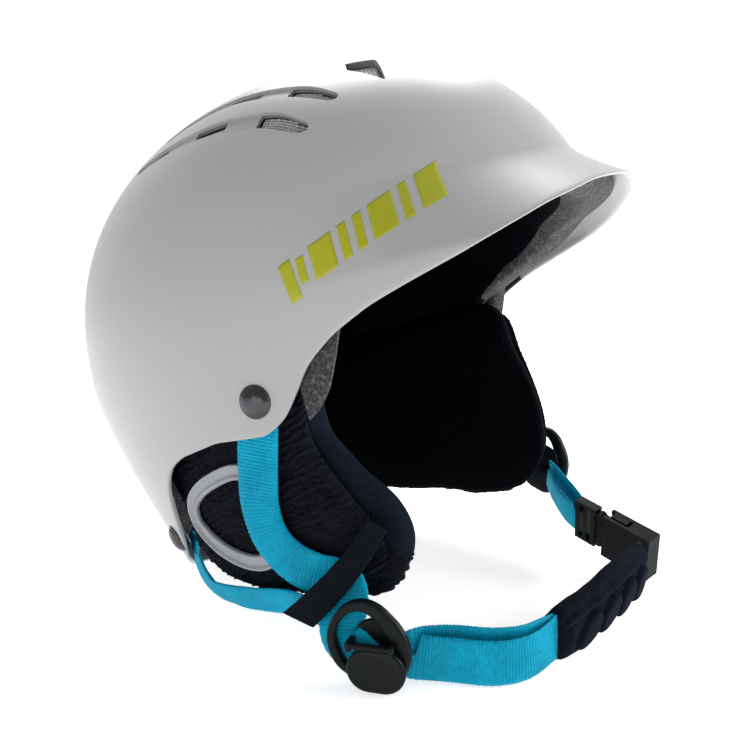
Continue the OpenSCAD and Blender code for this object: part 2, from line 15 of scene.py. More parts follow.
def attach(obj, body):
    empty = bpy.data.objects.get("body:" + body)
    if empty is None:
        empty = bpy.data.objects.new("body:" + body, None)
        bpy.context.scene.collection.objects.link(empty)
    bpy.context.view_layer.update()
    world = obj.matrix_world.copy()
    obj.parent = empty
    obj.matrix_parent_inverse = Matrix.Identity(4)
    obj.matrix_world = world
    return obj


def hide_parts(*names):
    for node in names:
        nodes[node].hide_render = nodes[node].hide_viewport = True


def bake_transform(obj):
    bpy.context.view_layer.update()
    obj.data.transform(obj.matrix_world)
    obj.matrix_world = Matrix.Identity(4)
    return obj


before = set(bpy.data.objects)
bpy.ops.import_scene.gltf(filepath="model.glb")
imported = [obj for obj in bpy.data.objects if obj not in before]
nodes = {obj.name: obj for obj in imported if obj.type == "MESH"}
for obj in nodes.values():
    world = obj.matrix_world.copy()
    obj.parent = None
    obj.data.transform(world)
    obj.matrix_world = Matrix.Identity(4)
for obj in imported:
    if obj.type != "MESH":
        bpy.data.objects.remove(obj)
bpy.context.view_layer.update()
rng = np.random.default_rng(7)
MM = 0.001
COL = bpy.context.scene.collection
SIDES = ((0, "right"), (1, "left"))

# ---- camera

TARGET = (0.0, -90.0, 106.0)
AZIMUTH, ELEVATION, DISTANCE = -62.0, 10.3, 440.0
SENSOR, LENS = 36.0, 42.05


def add_camera():
    a, e = math.radians(AZIMUTH), math.radians(ELEVATION)
    back = Vector((math.sin(a) * math.cos(e), -math.cos(a) * math.cos(e), math.sin(e)))
    data = bpy.data.cameras.new("camera")
    data.sensor_width = SENSOR
    data.lens = LENS
    data.clip_start, data.clip_end = 0.01, 20.0
    cam = bpy.data.objects.new("camera", data)
    COL.objects.link(cam)
    cam.location = (Vector(TARGET) + back * DISTANCE) * MM
    cam.rotation_mode = "QUATERNION"
    cam.rotation_quaternion = (-back).to_track_quat("-Z", "Y")
    bpy.context.scene.camera = cam


add_camera()
bpy.context.scene.view_settings.view_transform = "Standard"

# ---- small maths


def unit(v):
    v = np.asarray(v, float)
    return v / np.maximum(np.linalg.norm(v, axis=-1, keepdims=True), 1e-12)


def catmull(p, steps, closed=False):
    """Points of a Catmull-Rom curve through p."""
    p = np.asarray(p, float)
    n = len(p)
    out = []
    for i in range(n if closed else n - 1):
        k = [(i + d) % n if closed else min(max(i + d, 0), n - 1) for d in (-1, 0, 1, 2)]
        a, b, c, d = p[k]
        for t in np.arange(steps) / steps:
            bend = (2 * a - 5 * b + 4 * c - d) * t**2
            out.append(0.5 * (2 * b + (c - a) * t + bend + (3 * b - a - 3 * c + d) * t**3))
    if not closed:
        out.append(p[-1])
    return np.array(out)


def even(p, step, closed=False, extra=None):
    """p resampled at even steps along its length. extra holds values per point that are resampled too."""
    p = np.asarray(p, float)
    q = np.vstack([p, p[:1]]) if closed else p
    s = np.concatenate([[0], np.cumsum(np.linalg.norm(np.diff(q, axis=0), axis=1))])
    n = max(2, int(round(s[-1] / step)))
    t = np.linspace(0, s[-1], n + 1)[: n if closed else n + 1]
    res = np.stack([np.interp(t, s, q[:, k]) for k in range(q.shape[1])], 1)
    if extra is None:
        return res
    e = np.asarray(extra, float)
    e = np.vstack([e, e[:1]]) if closed else e
    return res, np.stack([np.interp(t, s, e[:, k]) for k in range(e.shape[1])], 1)


def smooth_lookup(x, knots, half=2.2):
    """Linear lookup in knots, rounded at the knots over a few degrees."""
    k = np.array(knots, float)
    offs = np.linspace(-half, half, 9)
    w = 1 - (offs / (half * 1.15)) ** 2
    x = np.asarray(x, float)
    total = sum(wi * np.interp(np.abs(x + d), k[:, 0], k[:, 1]) for wi, d in zip(w, offs))
    return total / w.sum()


def hill(x, width):
    return np.exp(-((x / width) ** 2))


def value_noise(p, scale, seed=0):
    """Smooth noise from -1 to 1 at points p."""
    q = np.asarray(p, float) / scale + 31.7 * (seed + 1)
    i = np.floor(q).astype(np.int64)
    f = q - i
    f = f * f * (3 - 2 * f)
    total = 0
    for corner in range(2 ** q.shape[1]):
        w, h = 1.0, np.zeros(len(q), np.int64) + seed * 7919
        for k in range(q.shape[1]):
            bit = (corner >> k) & 1
            w = w * (f[:, k] if bit else 1 - f[:, k])
            h = h * 73856093 ^ (i[:, k] + bit) * (19349663, 83492791, 49979687)[k]
        h = (h ^ (h >> 13)) * 1274126177 & 0x7FFFFFFF
        total = total + w * ((h % 10007) / 5003.5 - 1)
    return total


# ---- frames of the part
PITCH = math.radians(17)
FOOT = np.array([0.0, -66.0, 126.0])


def row(p):
    """Shell frame to row frame."""
    p = np.asarray(p, float)
    c, s = math.cos(PITCH), math.sin(PITCH)
    return np.stack([p[..., 0], c * p[..., 1] + s * p[..., 2], -s * p[..., 1] + c * p[..., 2]], -1) + FOOT


def unrow(p):
    """Row frame to shell frame."""
    q = np.asarray(p, float) - FOOT
    c, s = math.cos(PITCH), math.sin(PITCH)
    return np.stack([q[..., 0], c * q[..., 1] - s * q[..., 2], s * q[..., 1] + c * q[..., 2]], -1)


def flip(p, side):
    p = np.array(p, float)
    if side:
        p[..., 0] *= -1
    return p


def stand(p, side):
    """Shell frame to row frame, mirrored for the left side."""
    return row(flip(p, side))


# Dome of the shell, as in the CAD source. Edges are (bearing from the front, height).
HALF_W, FRONT, REAR, TOP = 105.0, 145.5, 138.5, 122.0
LEAN = 8.5
RIM = [(0, 32.5), (12, 30.5), (23, 24.7), (38, 13.6), (51, 5.2), (59, -2), (65.5, -11), (69, -20),
       (73.4, -29.4), (79, -34.4), (93, -32.6), (107, -36), (113, -40), (117, -46), (120.5, -55),
       (125, -75), (131, -84), (145, -94), (165, -101), (180, -103.3)]
FOAM_EDGE = [(0, 38), (30, 27), (45, 13.5), (56, 4), (62, -3), (66, -10), (70, -13), (134, -13),
             (140, -30), (147, -70), (155, -86), (180, -95)]


def dome(u, z):
    u, z = np.broadcast_arrays(np.asarray(u, float), np.asarray(z, float))
    r = np.radians(u)
    reach = np.where(np.cos(r) > 0, FRONT, REAR)
    plan = ((np.abs(np.sin(r)) / HALF_W) ** 1.9 + (np.abs(np.cos(r)) / reach) ** 1.9) ** (-1 / 1.9)
    up = np.maximum(0, 1 - (np.clip(z, 0, TOP) / TOP) ** 2.3) ** (1 / 2.3)
    down = 1 - 0.26 * ((1 - np.cos(r)) / 2) ** 2.5 * (np.maximum(-z, 0) / 100) ** 1.45
    off = np.abs(u - 360 * np.round(u / 360))
    peak = 22 * np.exp(-((off / 40) ** 2.6)) * np.clip((50 - z) / 22, 0, 1.5) ** 1.35
    rr = plan * np.where(z > 0, up, down) + peak
    return np.stack([rr * np.sin(r), -rr * np.cos(r) - LEAN * (np.maximum(z, 0) / TOP) ** 2, z], -1)


def inward(p, depth):
    """Points moved towards the shell frame's origin."""
    n = np.linalg.norm(p, axis=-1, keepdims=True)
    return p * (1 - depth / n)


def dome_normal(u, z):
    a = dome(np.asarray(u) + 0.5, z) - dome(np.asarray(u) - 0.5, z)
    b = dome(u, np.asarray(z) + 0.5) - dome(u, np.asarray(z) - 0.5)
    return unit(np.cross(a, b))


def ear_x(y, z):
    """Distance of the ear flap's middle surface from the helmet's middle plane."""
    back = np.where(y < 0, 140.0, 108.0)
    return (86 - 0.06 * np.maximum(0, -z - 30)) * np.sqrt(np.maximum(0.05, 1 - (y / back) ** 2))


def ear(p, lift):
    """Points at (y, z) on the flap's middle surface, raised by lift."""
    p = np.asarray(p, float)
    return np.stack([-ear_x(p[..., 0], p[..., 1]) - lift, p[..., 0], p[..., 1]], -1)


# ---- mesh helpers


def mesh(name, verts, faces, mat=None, smooth=True):
    me = bpy.data.meshes.new(name)
    me.from_pydata((np.asarray(verts, float) * MM).tolist(), [], [list(map(int, f)) for f in faces])
    me.update()
    if smooth:
        me.polygons.foreach_set("use_smooth", [True] * len(me.polygons))
    ob = bpy.data.objects.new(name, me)
    COL.objects.link(ob)
    if mat:
        me.materials.append(mat)
    return ob


def fix_normals(ob):
    bm = bmesh.new()
    bm.from_mesh(ob.data)
    bmesh.ops.recalc_face_normals(bm, faces=bm.faces)
    bm.to_mesh(ob.data)
    bm.free()


def solid(name, verts, faces, mat):
    ob = mesh(name, verts, faces, mat)
    fix_normals(ob)
    return ob


def grid_faces(m, n, wrap_n=True, wrap_m=False):
    """Quads of an m by n grid of points. wrap closes that direction."""
    i = np.arange(m if wrap_m else m - 1)[:, None]
    j = np.arange(n if wrap_n else n - 1)[None, :]
    a, b = i * n + j, i * n + (j + 1) % n
    c, d = (i + 1) % m * n + (j + 1) % n, (i + 1) % m * n + j
    return np.stack([a, b, c, d], -1).reshape(-1, 4).tolist()


def skin(name, rings, mat=None, caps=True, wrap=False):
    """Skin over rings of points, closed at both ends by fans."""
    rings = np.asarray(rings, float)
    m, n = rings.shape[:2]
    verts = rings.reshape(-1, 3)
    faces = grid_faces(m, n, True, wrap)
    if caps and not wrap:
        verts = np.vstack([verts, rings[0].mean(0), rings[-1].mean(0)])
        k = m * n
        faces += [[k, (i + 1) % n, i] for i in range(n)]
        faces += [[k + 1, (m - 1) * n + i, (m - 1) * n + (i + 1) % n] for i in range(n)]
    return solid(name, verts, faces, mat)


def plate(name, front, rear, mat):
    """Thin solid between two grids of points, joined round their rim."""
    m, n = front.shape[:2]
    c = m * n
    faces = grid_faces(m, n, False)
    faces = faces + [[c + q for q in f][::-1] for f in faces]
    rim = [i * n for i in range(m)] + [(m - 1) * n + j for j in range(1, n)]
    rim += [i * n + n - 1 for i in range(m - 2, -1, -1)] + [j for j in range(n - 2, 0, -1)]
    faces += [[a, b, c + b, c + a] for a, b in zip(rim, rim[1:] + rim[:1])]
    return mesh(name, np.vstack([front.reshape(-1, 3), rear.reshape(-1, 3)]), faces, mat)


def settle(ob, body, stands_for=None):
    """Hide the CAD node a piece replaces, and hang the piece on the body it rides on."""
    if stands_for:
        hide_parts(stands_for)
    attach(ob, body)


def apply_modifiers(ob):
    dg = bpy.context.evaluated_depsgraph_get()
    dg.update()
    me = bpy.data.meshes.new_from_object(ob.evaluated_get(dg))
    ob.modifiers.clear()
    old = ob.data
    ob.data = me
    bpy.data.meshes.remove(old)


def cut(ob, cutter):
    mod = ob.modifiers.new("cut", "BOOLEAN")
    mod.operation = "DIFFERENCE"
    mod.object = cutter
    mod.solver = "EXACT"
    mod.material_mode = "TRANSFER"
    apply_modifiers(ob)
    bpy.data.objects.remove(cutter)


def sharpen(ob, degrees=38):
    """Smooth shading with hard edges where the surface turns by more than that."""
    bm = bmesh.new()
    bm.from_mesh(ob.data)
    limit = math.radians(degrees)
    for e in bm.edges:
        e.smooth = not (len(e.link_faces) == 2 and e.calc_face_angle(0) > limit)
    for f in bm.faces:
        f.smooth = True
    bm.to_mesh(ob.data)
    bm.free()


def join(name, obs):
    """One object from several, with their materials kept."""
    bm = bmesh.new()
    mats = []
    for o in obs:
        start = len(bm.faces)
        bm.from_mesh(o.data)
        bm.faces.ensure_lookup_table()
        own = list(o.data.materials)
        for m in own:
            if m not in mats:
                mats.append(m)
        for f in bm.faces[start:]:
            f.material_index = mats.index(own[f.material_index]) if own else 0
    me = bpy.data.meshes.new(name)
    bm.to_mesh(me)
    bm.free()
    for m in mats:
        me.materials.append(m)
    for o in obs:
        bpy.data.objects.remove(o)
    ob = bpy.data.objects.new(name, me)
    COL.objects.link(ob)
    return ob


def ribbon(name, path, normals, width, thick, mat, rib=1.5, rib_depth=0.2, fray=0.26, slant=0.0, ease=None):
    """Strip of ribbed webbing along a path. normals point out of its face, slant skews its far end, and
    ease is (places from 0 to 1, shares of the width there)."""
    step, columns = rib / 4, 12
    path, nrm = even(path, step, extra=normals)
    n = len(path)
    ahead = unit(np.gradient(path, axis=0))
    side = unit(np.cross(ahead, nrm))
    out = unit(np.cross(side, ahead))
    s = np.arange(n) * step
    w = np.linspace(-1, 1, columns)
    edge = np.clip((1 - np.abs(w)) / 0.12, 0, 1)
    half_w = width / 2 * (np.ones(n) if ease is None else np.interp(np.linspace(0, 1, n), *ease))
    ragged = fray * (0.6 * np.sin(2 * math.pi * s / rib) + 0.4 * rng.uniform(-1, 1, n))
    rings = np.zeros((n, 2 * columns, 3))
    for face, sign in enumerate((1, -1)):
        for k in range(columns):
            kk = k if face == 0 else columns - 1 - k
            ribs = rib_depth * np.sin(2 * math.pi * s / rib + (0.9 if kk % 2 else 0)) * edge[kk]
            lift = thick / 2 * (0.55 + 0.45 * edge[kk]) + ribs
            lift = lift + rib_depth * 0.35 * value_noise(np.stack([s, np.full(n, w[kk] * 9)], 1), 1.1, seed=face)
            across = half_w * w[kk] + np.sign(w[kk]) * (1 - edge[kk]) * ragged
            skew = slant * w[kk] * np.clip(1 - (s[-1] - s) / 14, 0, 1)
            spot = path + side * across[:, None] + out * (sign * lift)[:, None]
            rings[:, face * columns + k] = spot + ahead * skew[:, None]
    return skin(name, rings, mat)


# ---- materials


def material(name):
    m = bpy.data.materials.new(name)
    m.use_nodes = True
    nt = m.node_tree
    return m, nt, nt.nodes["Principled BSDF"]


def node(nt, kind, **values):
    n = nt.nodes.new(kind)
    for k, v in values.items():
        if k in n.inputs:
            n.inputs[k].default_value = v
        else:
            setattr(n, k, v)
    return n


def coords(nt):
    return node(nt, "ShaderNodeTexCoord").outputs["Object"]


def inputs(n, **values):
    """Set a node's inputs. An underscore stands for a space in an input's name."""
    for k, v in values.items():
        n.inputs[k.replace("_", " ")].default_value = v


def ramp(nt, fac, stops):
    r = node(nt, "ShaderNodeValToRGB")
    els = r.color_ramp.elements
    while len(els) < len(stops):
        els.new(0.5)
    for e, (pos, col) in zip(els, stops):
        e.position = pos
        e.color = (*col, 1)
    nt.links.new(fac, r.inputs["Fac"])
    return r.outputs["Color"]


def tint(nt, bsdf, fac, stops):
    nt.links.new(ramp(nt, fac, stops), bsdf.inputs["Base Color"])


def combine(nt, operation, a, b):
    """Result of a Math node on two sockets, or on a socket and a number."""
    n = node(nt, "ShaderNodeMath", operation=operation)
    for k, v in enumerate((a, b)):
        if isinstance(v, float):
            n.inputs[k].default_value = v
        else:
            nt.links.new(v, n.inputs[k])
    return n.outputs[0]


def bump(nt, bsdf, height, strength, distance):
    b = node(nt, "ShaderNodeBump", Strength=strength, Distance=distance)
    nt.links.new(height, b.inputs["Height"])
    nt.links.new(b.outputs["Normal"], bsdf.inputs["Normal"])


def noise(nt, vec, scale, detail=3.0, rough=0.55):
    n = node(nt, "ShaderNodeTexNoise", Scale=scale, Detail=detail, Roughness=rough)
    nt.links.new(vec, n.inputs["Vector"])
    return n.outputs["Fac"]


def plastic(name, colour, rough=0.35, spread=0.06, grain=0.0, coat=0.0, scale=160, metallic=0.0,
            specular=0.5):
    """Moulded plastic or metal: slight colour and roughness variation, with a fine grain."""
    m, nt, b = material(name)
    vec = coords(nt)
    f = noise(nt, vec, scale)
    c0 = tuple(max(0, x * (1 - spread)) for x in colour)
    c1 = tuple(min(1, x * (1 + spread)) for x in colour)
    tint(nt, b, f, [(0.3, c0), (0.7, c1)])
    swing = min(0.15, spread * 2)
    stops = [(0.3, (rough * (1 - swing),) * 3), (0.7, (rough * (1 + swing),) * 3)]
    nt.links.new(ramp(nt, noise(nt, vec, scale * 0.4), stops), b.inputs["Roughness"])
    inputs(b, Metallic=metallic, Specular_IOR_Level=specular, Coat_Weight=coat, Coat_Roughness=0.25)
    if grain:
        bump(nt, b, noise(nt, vec, scale * 12, 2.0), grain, 0.0002)
    return m


def fabric(name, dark, light, scale, sheen, strength=0.5, distance=0.0004):
    """Knitted or woven cloth: small cells for the stitches, broken up by noise, with sheen."""
    m, nt, b = material(name)
    vec = coords(nt)
    cell = node(nt, "ShaderNodeTexVoronoi", Scale=scale, feature="F1")
    nt.links.new(vec, cell.inputs["Vector"])
    height = combine(nt, "ADD", cell.outputs["Distance"], noise(nt, vec, scale * 0.12, 5.0, 0.65))
    tint(nt, b, height, [(0.45, dark), (1.0, light)])
    inputs(b, Roughness=0.9, Specular_IOR_Level=0.04, Sheen_Weight=sheen, Sheen_Roughness=0.45,
           Sheen_Tint=(*[min(1, x * 4 + 0.06) for x in light], 1))
    bump(nt, b, height, strength, distance)
    return m


def foam_material():
    """Beaded foam: pale bead edges round dark beads."""
    m, nt, b = material("foam_beads")
    vec = coords(nt)
    v = node(nt, "ShaderNodeTexVoronoi", Scale=640.0, feature="F1")
    nt.links.new(vec, v.inputs["Vector"])
    mix = combine(nt, "MULTIPLY", v.outputs["Distance"], noise(nt, vec, 260, 4))
    tint(nt, b, mix, [(0.1, (0.012, 0.013, 0.015)), (0.34, (0.05, 0.05, 0.053)), (0.55, (0.12, 0.12, 0.12))])
    inputs(b, Roughness=0.8)
    bump(nt, b, v.outputs["Distance"], 0.5, 0.0005)
    return m


def webbing_material():
    """Ribbed cyan webbing: colour shifts a little from thread to thread."""
    m, nt, b = material("webbing_cyan")
    vec = coords(nt)
    f = noise(nt, vec, 900, 3, 0.6)
    mean = combine(nt, "MULTIPLY", combine(nt, "ADD", f, noise(nt, vec, 60, 3)), 0.5)
    tint(nt, b, mean, [(0.3, (0.0, 0.19, 0.31)), (0.55, (0.0, 0.33, 0.51)), (0.75, (0.001, 0.46, 0.68))])
    inputs(b, Roughness=0.62, Specular_IOR_Level=0.12, Sheen_Weight=0.04, Sheen_Roughness=0.4,
           Sheen_Tint=(0.5, 0.85, 1, 1))
    bump(nt, b, f, 0.35, 0.0002)
    return m


M_SHELL = plastic("shell_pearl", (0.395, 0.399, 0.393), 0.4, 0.004, grain=0.03, coat=0.12, scale=6)
# Near-black inner face of the shell: painted shade inside the helmet, not the shell's own colour
M_INNER_SHADE = plastic("shell_inner_painted_shade", (0.012, 0.012, 0.014), 0.7, 0.1)
M_FOAM = foam_material()
# Grey for the vents' cut walls: painted shade in the vents on the shell's white cut edge, and close to the foam's
# own grey below it
M_VENT_WALL_GREY_AND_SHADE = plastic("vent_wall_grey_and_shade", (0.2, 0.205, 0.21), 0.6, 0.08)
M_MESH = plastic("mesh_wire", (0.62, 0.63, 0.64), 0.45, 0.1, metallic=0.1)
M_RIVET = plastic("rivet_metal", (0.07, 0.07, 0.075), 0.2, 0.1, metallic=1.0)
M_STEEL = plastic("plain_steel", (0.3, 0.31, 0.33), 0.35, metallic=1.0)
M_PIN = plastic("pin_black_steel", (0.03, 0.032, 0.035), 0.35, metallic=1.0)
# Black lining cloth; the far (left) cushion also takes it as painted shade, a darker copy of the near cushion's
# slate cloth
M_LINING_AND_CUSHION_SHADE = fabric("lining_black_and_cushion_shade", (0.0003, 0.0004, 0.001), (0.0014, 0.0016, 0.003), 900, 0.0)
M_CRINKLE = fabric("crinkle_black", (0.0012, 0.0015, 0.003), (0.009, 0.0105, 0.015), 800, 0.03, 0.5, 0.0005)
M_SLATE = fabric("slate_plush", (0.0025, 0.004, 0.007), (0.008, 0.012, 0.019), 1300, 0.03, 0.3)
M_SLEEVE = fabric("sleeve_black", (0.001, 0.0016, 0.004), (0.006, 0.0085, 0.0145), 1200, 0.04, 0.3)
M_ELASTIC = fabric("elastic_black", (0.0015, 0.0022, 0.0035), (0.008, 0.0105, 0.014), 1100, 0.02, 0.4)
M_RING = plastic("ring_grey", (0.3, 0.31, 0.33), 0.42, 0.08, grain=0.1)
M_WEB = webbing_material()
M_DIVIDER = plastic("divider_black", (0.004, 0.006, 0.0075), 0.4, 0.15, grain=0.08, specular=0.14)
M_BUCKLE = plastic("buckle_black", (0.002, 0.003, 0.004), 0.42, 0.15, grain=0.08, specular=0.06)
M_LIME = plastic("lime_print", (0.37, 0.375, 0.003), 0.45, 0.03)

# ---- shell


def dome_grid(knots, depth, columns, rows):
    """Rings of points from the top down to the edge that knots gives, at a depth under the dome."""
    u = np.arange(columns) * 360 / columns
    low = smooth_lookup(np.abs(u - 360 * np.round(u / 360)), knots)
    t = (np.arange(rows) + 1) / rows
    z = TOP * np.cos(t[:, None] * np.arccos(low / TOP)[None, :])
    return inward(dome(u[None, :], z), depth)


def dome_shell(name, knots, outer, inner, nu, rows, mat, lip=None):
    """Closed wall between two depths under the dome, with a rounded lower edge."""
    a, b, mid = (dome_grid(knots, d, nu, rows) for d in (outer, inner, (outer + inner) / 2))
    wall = inner - outer
    down = unit(mid[-1] - mid[-3])
    across = (a[-1] - b[-1]) / 2
    centre = (a[-1] + b[-1]) / 2
    lip = wall / 2 if lip is None else lip
    ang = np.radians(np.linspace(0, 180, 9))[1:-1]
    power = 1.0 if lip >= wall / 2 else 0.5
    turns = [(np.sign(math.cos(x)) * abs(math.cos(x)) ** power, math.sin(x) ** power) for x in ang]
    rings = np.concatenate([a, np.array([centre + across * c + down * lip * s for c, s in turns]), b[::-1]])
    m = len(rings)
    top, bottom = (inward(np.array([[0, -LEAN, TOP]]), d) for d in (outer, inner))
    verts = np.vstack([rings.reshape(-1, 3), top, bottom])
    faces = grid_faces(m, nu)
    k = m * nu
    faces += [[k, i, (i + 1) % nu] for i in range(nu)]
    faces += [[k + 1, (m - 1) * nu + (i + 1) % nu, (m - 1) * nu + i] for i in range(nu)]
    return solid(name, row(verts), faces, mat)


# Middle lines of the vents as (bearing, height, half width), and the parts of them that are open
SIDE_VENT = [(-55, 81, 3.3), (-61, 87.5, 4.6), (-67, 91, 4.6), (-80, 95, 4), (-93, 96.2, 3.6),
             (-109, 96.3, 3.4), (-125, 95, 2.8)]
TOP_VENT = [(-45, 91.8, 3), (-50, 97.5, 4.2), (-56, 101.5, 4.3), (-68, 106, 3.9), (-84, 108.4, 3.8),
            (-104, 107.6, 3.4), (-118, 105, 2.6)]
VENT_OPEN = [(0, 2), (3, 4), (5, 6)]
FRONT_VENT = [(-30, 93.5), (-35, 105), (-17, 118), (-14.7, 113.4)]
SLOT_END, CORNER_ROUND = 0.35, 1.8


def vent_path(vent, i, j):
    """Bearing, height and half width along a vent from its point i to point j."""
    return catmull(vent, 8)[i * 8: j * 8 + 1].T


def vent_cutter(vent, i, j, grow, top, bottom, mat, side, round_ends=(True, True)):
    """Solid that follows a vent under the dome, from top above the surface to bottom below it."""
    u, z, r = vent_path(vent, i, j)
    p, n = dome(u, z), dome_normal(u, z)
    ahead = unit(np.gradient(p, axis=0))
    cross = unit(np.cross(n, ahead))
    r = r + grow
    k = len(p)
    ends = np.radians(np.linspace(90, -90, 9))[1:-1]
    e = len(ends)

    def end(m, way):
        reach = r[m] if round_ends[m] else SLOT_END
        return [p[m] + way * cross[m] * r[m] * math.sin(a) + way * ahead[m] * reach * math.cos(a) for a in ends]

    half = cross * r[:, None]
    base = np.array([*(p + half), *end(-1, 1), *(p - half)[::-1], *end(0, -1)])
    nn = np.array([*n, *[n[-1]] * e, *n[::-1], *[n[0]] * e])
    c = len(base)
    # The two faces are strips of quads between the sides, so that they follow the dome
    cap = [[m, m + 1, k + e + (k - 2 - m), k + e + (k - 1 - m)] for m in range(k - 1)]
    cap.append([k - 1] + [k + q for q in range(e)] + [k + e])
    cap.append([k + e + k - 1] + [2 * k + e + q for q in range(e)] + [0])
    faces = grid_faces(2, c) + cap + [[c + q for q in f][::-1] for f in cap]
    return solid("c", stand(np.vstack([base + nn * top, base - nn * bottom]), side), faces, mat)


def corner_cutter(grow, top, bottom, mat, side):
    """Front vent's cutter: a rounded quadrilateral."""
    p = np.array([dome(*c) for c in FRONT_VENT])
    n = np.array([dome_normal(*c) for c in FRONT_VENT])
    fine = []
    for a, b, c in zip(np.roll(p, 1, 0), p, np.roll(p, -1, 0)):
        da, dc = unit(a - b) * CORNER_ROUND, unit(c - b) * CORNER_ROUND
        fine += [(b + da) * (1 - t) ** 2 + 2 * t * (1 - t) * b + (b + dc) * t**2 for t in np.linspace(0, 1, 5)]
    nf = unit(np.repeat(n, 5, 0) * 0.3 + n.mean(0))
    fine = np.array(fine)
    fine = fine + unit(fine - p.mean(0)) * grow
    c = len(fine)
    faces = grid_faces(2, c) + [list(range(c)), list(range(2 * c - 1, c - 1, -1))]
    return solid("c", stand(np.vstack([fine + nf * top, fine - nf * bottom]), side), faces, mat)


def cut_vents(ob, side, grow, deep, corner_grow, corner_deep, recess=0.0):
    """Cut one side's openings through a wall, each in a shallow recess of its whole length if asked."""
    for vent in (SIDE_VENT, TOP_VENT):
        if recess:
            cut(ob, vent_cutter(vent, 0, 6, 0.0, 3, recess, M_SHELL, side))
        for i, j in VENT_OPEN:
            # The openings' walls take the grey vent-wall material, which is painted shade in the vents
            cut(ob, vent_cutter(vent, i, j, grow, 3, deep, M_VENT_WALL_GREY_AND_SHADE, side, (i == 0, j == 6)))
    cut(ob, corner_cutter(corner_grow, 10, corner_deep, M_VENT_WALL_GREY_AND_SHADE, side))


def rivet_frame(place, side):
    """Point on the shell and three axes there, in the row frame."""
    p, n = dome(*place), dome_normal(*place)
    t = unit(np.cross([0, 0, 1.0], n))
    b = np.cross(n, t)
    pts = stand(np.stack([p, p + n, p + t, p + b]), side)
    return pts[0], pts[1] - pts[0], pts[2] - pts[0], pts[3] - pts[0]


SIDE_RIVET, REAR_RIVET = (-79.2, -20.9), (-131.0, -76.0)
SHELL_WALL, SHADE_PAST = 3.0, 52
FOAM_TOP, FOAM_UNDER = 4.9, 22.9


def build_shell():
    shell = dome_shell("shell_body", RIM, 0.0, SHELL_WALL, 360, 120, M_SHELL)
    shell.data.materials.append(M_INNER_SHADE)
    bm = bmesh.new()
    bm.from_mesh(shell.data)
    # The inner face is painted near black behind the flaps and up to the nape: painted shade inside the helmet
    for f in bm.faces:
        c = unrow(np.array(f.calc_center_median()) / MM)
        n = np.array(f.normal)
        axis = unit(row(c) - row(np.array([0, 0, max(0.0, c[2])])))
        bearing = abs(math.degrees(math.atan2(c[0], -c[1])))
        if np.dot(n, axis) < -0.3 and bearing > SHADE_PAST:
            f.material_index = 1
    # The small flat that the helmet stands on
    geom = list(bm.verts) + list(bm.edges) + list(bm.faces)
    plane = {"plane_co": (0, 0, 0), "plane_no": (0, 0, -1)}
    res = bmesh.ops.bisect_plane(bm, geom=geom, clear_outer=True, **plane)
    edges = [e for e in res["geom_cut"] if isinstance(e, bmesh.types.BMEdge)]
    bmesh.ops.triangle_fill(bm, use_beauty=True, use_dissolve=False, edges=edges)
    bmesh.ops.recalc_face_normals(bm, faces=bm.faces)
    bm.to_mesh(shell.data)
    bm.free()
    for side in (0, 1):
        cut_vents(shell, side, -0.15, 8, 0.0, 9, recess=1.5)
    sharpen(shell, 35)
    settle(shell, "helmet", "outer_shell")


def temple_foam(side):
    """Foam that runs down behind the shell's edge in front of the ear flap."""
    edge = [(55, 6), (57, -2), (59.5, -14), (62, -24), (65, -31), (69, -36)]
    rings = []
    for u in np.linspace(-55.5, -68.5, 18):
        low = float(smooth_lookup(np.abs(u), edge, 1.2))
        back = [(z, 3.3) for z in np.linspace(low + 24, low + 2, 8)]
        curl = [(low + 0.6, 4.2), (low, 6.0), (low + 0.4, 9.0), (low + 2, 11.0)]
        front = [(z, 12.2) for z in np.linspace(low + 5, low + 24, 7)]
        rings.append(np.array([inward(dome(u, z), d) for z, d in back + curl + front]))
    return skin("t", stand(np.array(rings), side), M_FOAM)


def build_foam():
    foam = dome_shell("foam_body", FOAM_EDGE, FOAM_TOP, FOAM_UNDER, 240, 70, M_FOAM, lip=4.0)
    foam = join("foam_body", [foam, temple_foam(0), temple_foam(1)])
    for side in (0, 1):
        cut_vents(foam, side, 0.3, 12, 0.4, 14)
    sharpen(foam, 40)
    settle(foam, "helmet", "foam_liner")


def build_lining():
    """Black cloth over the foam's inner face and the inner part of its lower edge."""
    edge = [(u, z - 1.5 + 8.5 * min(1.0, max(0.0, (63 - u) / 22))) for u, z in FOAM_EDGE]
    lining = dome_shell("lining_cloth", edge, 14.5, 24.0, 200, 60, M_LINING_AND_CUSHION_SHADE, lip=4.3)
    settle(lining, "helmet")


build_shell()
build_foam()
build_lining()

# ---- vents' wire meshes


def tube(name, path, radius, mat, sides=6, closed=False):
    """Round wire along a path."""
    path = np.asarray(path, float)
    n = len(path)
    ahead = np.roll(path, -1, 0) - np.roll(path, 1, 0) if closed else np.gradient(path, axis=0)
    ahead = unit(ahead)
    ref = np.where(np.abs(ahead[:, 2:3]) > 0.9, [[1.0, 0, 0]], [[0, 0, 1.0]])
    a = unit(np.cross(ahead, ref))
    b = np.cross(ahead, a)
    ang = np.arange(sides) * 2 * math.pi / sides
    c, s = np.cos(ang)[None, :, None], np.sin(ang)[None, :, None]
    rings = path[:, None] + radius * (a[:, None] * c + b[:, None] * s)
    return skin(name, rings, mat, caps=not closed, wrap=closed)


WIRE, WIRE_PITCH = 0.34, 1.5


def wire(path, side):
    return tube("w", stand(path, side), WIRE, M_MESH, 5)


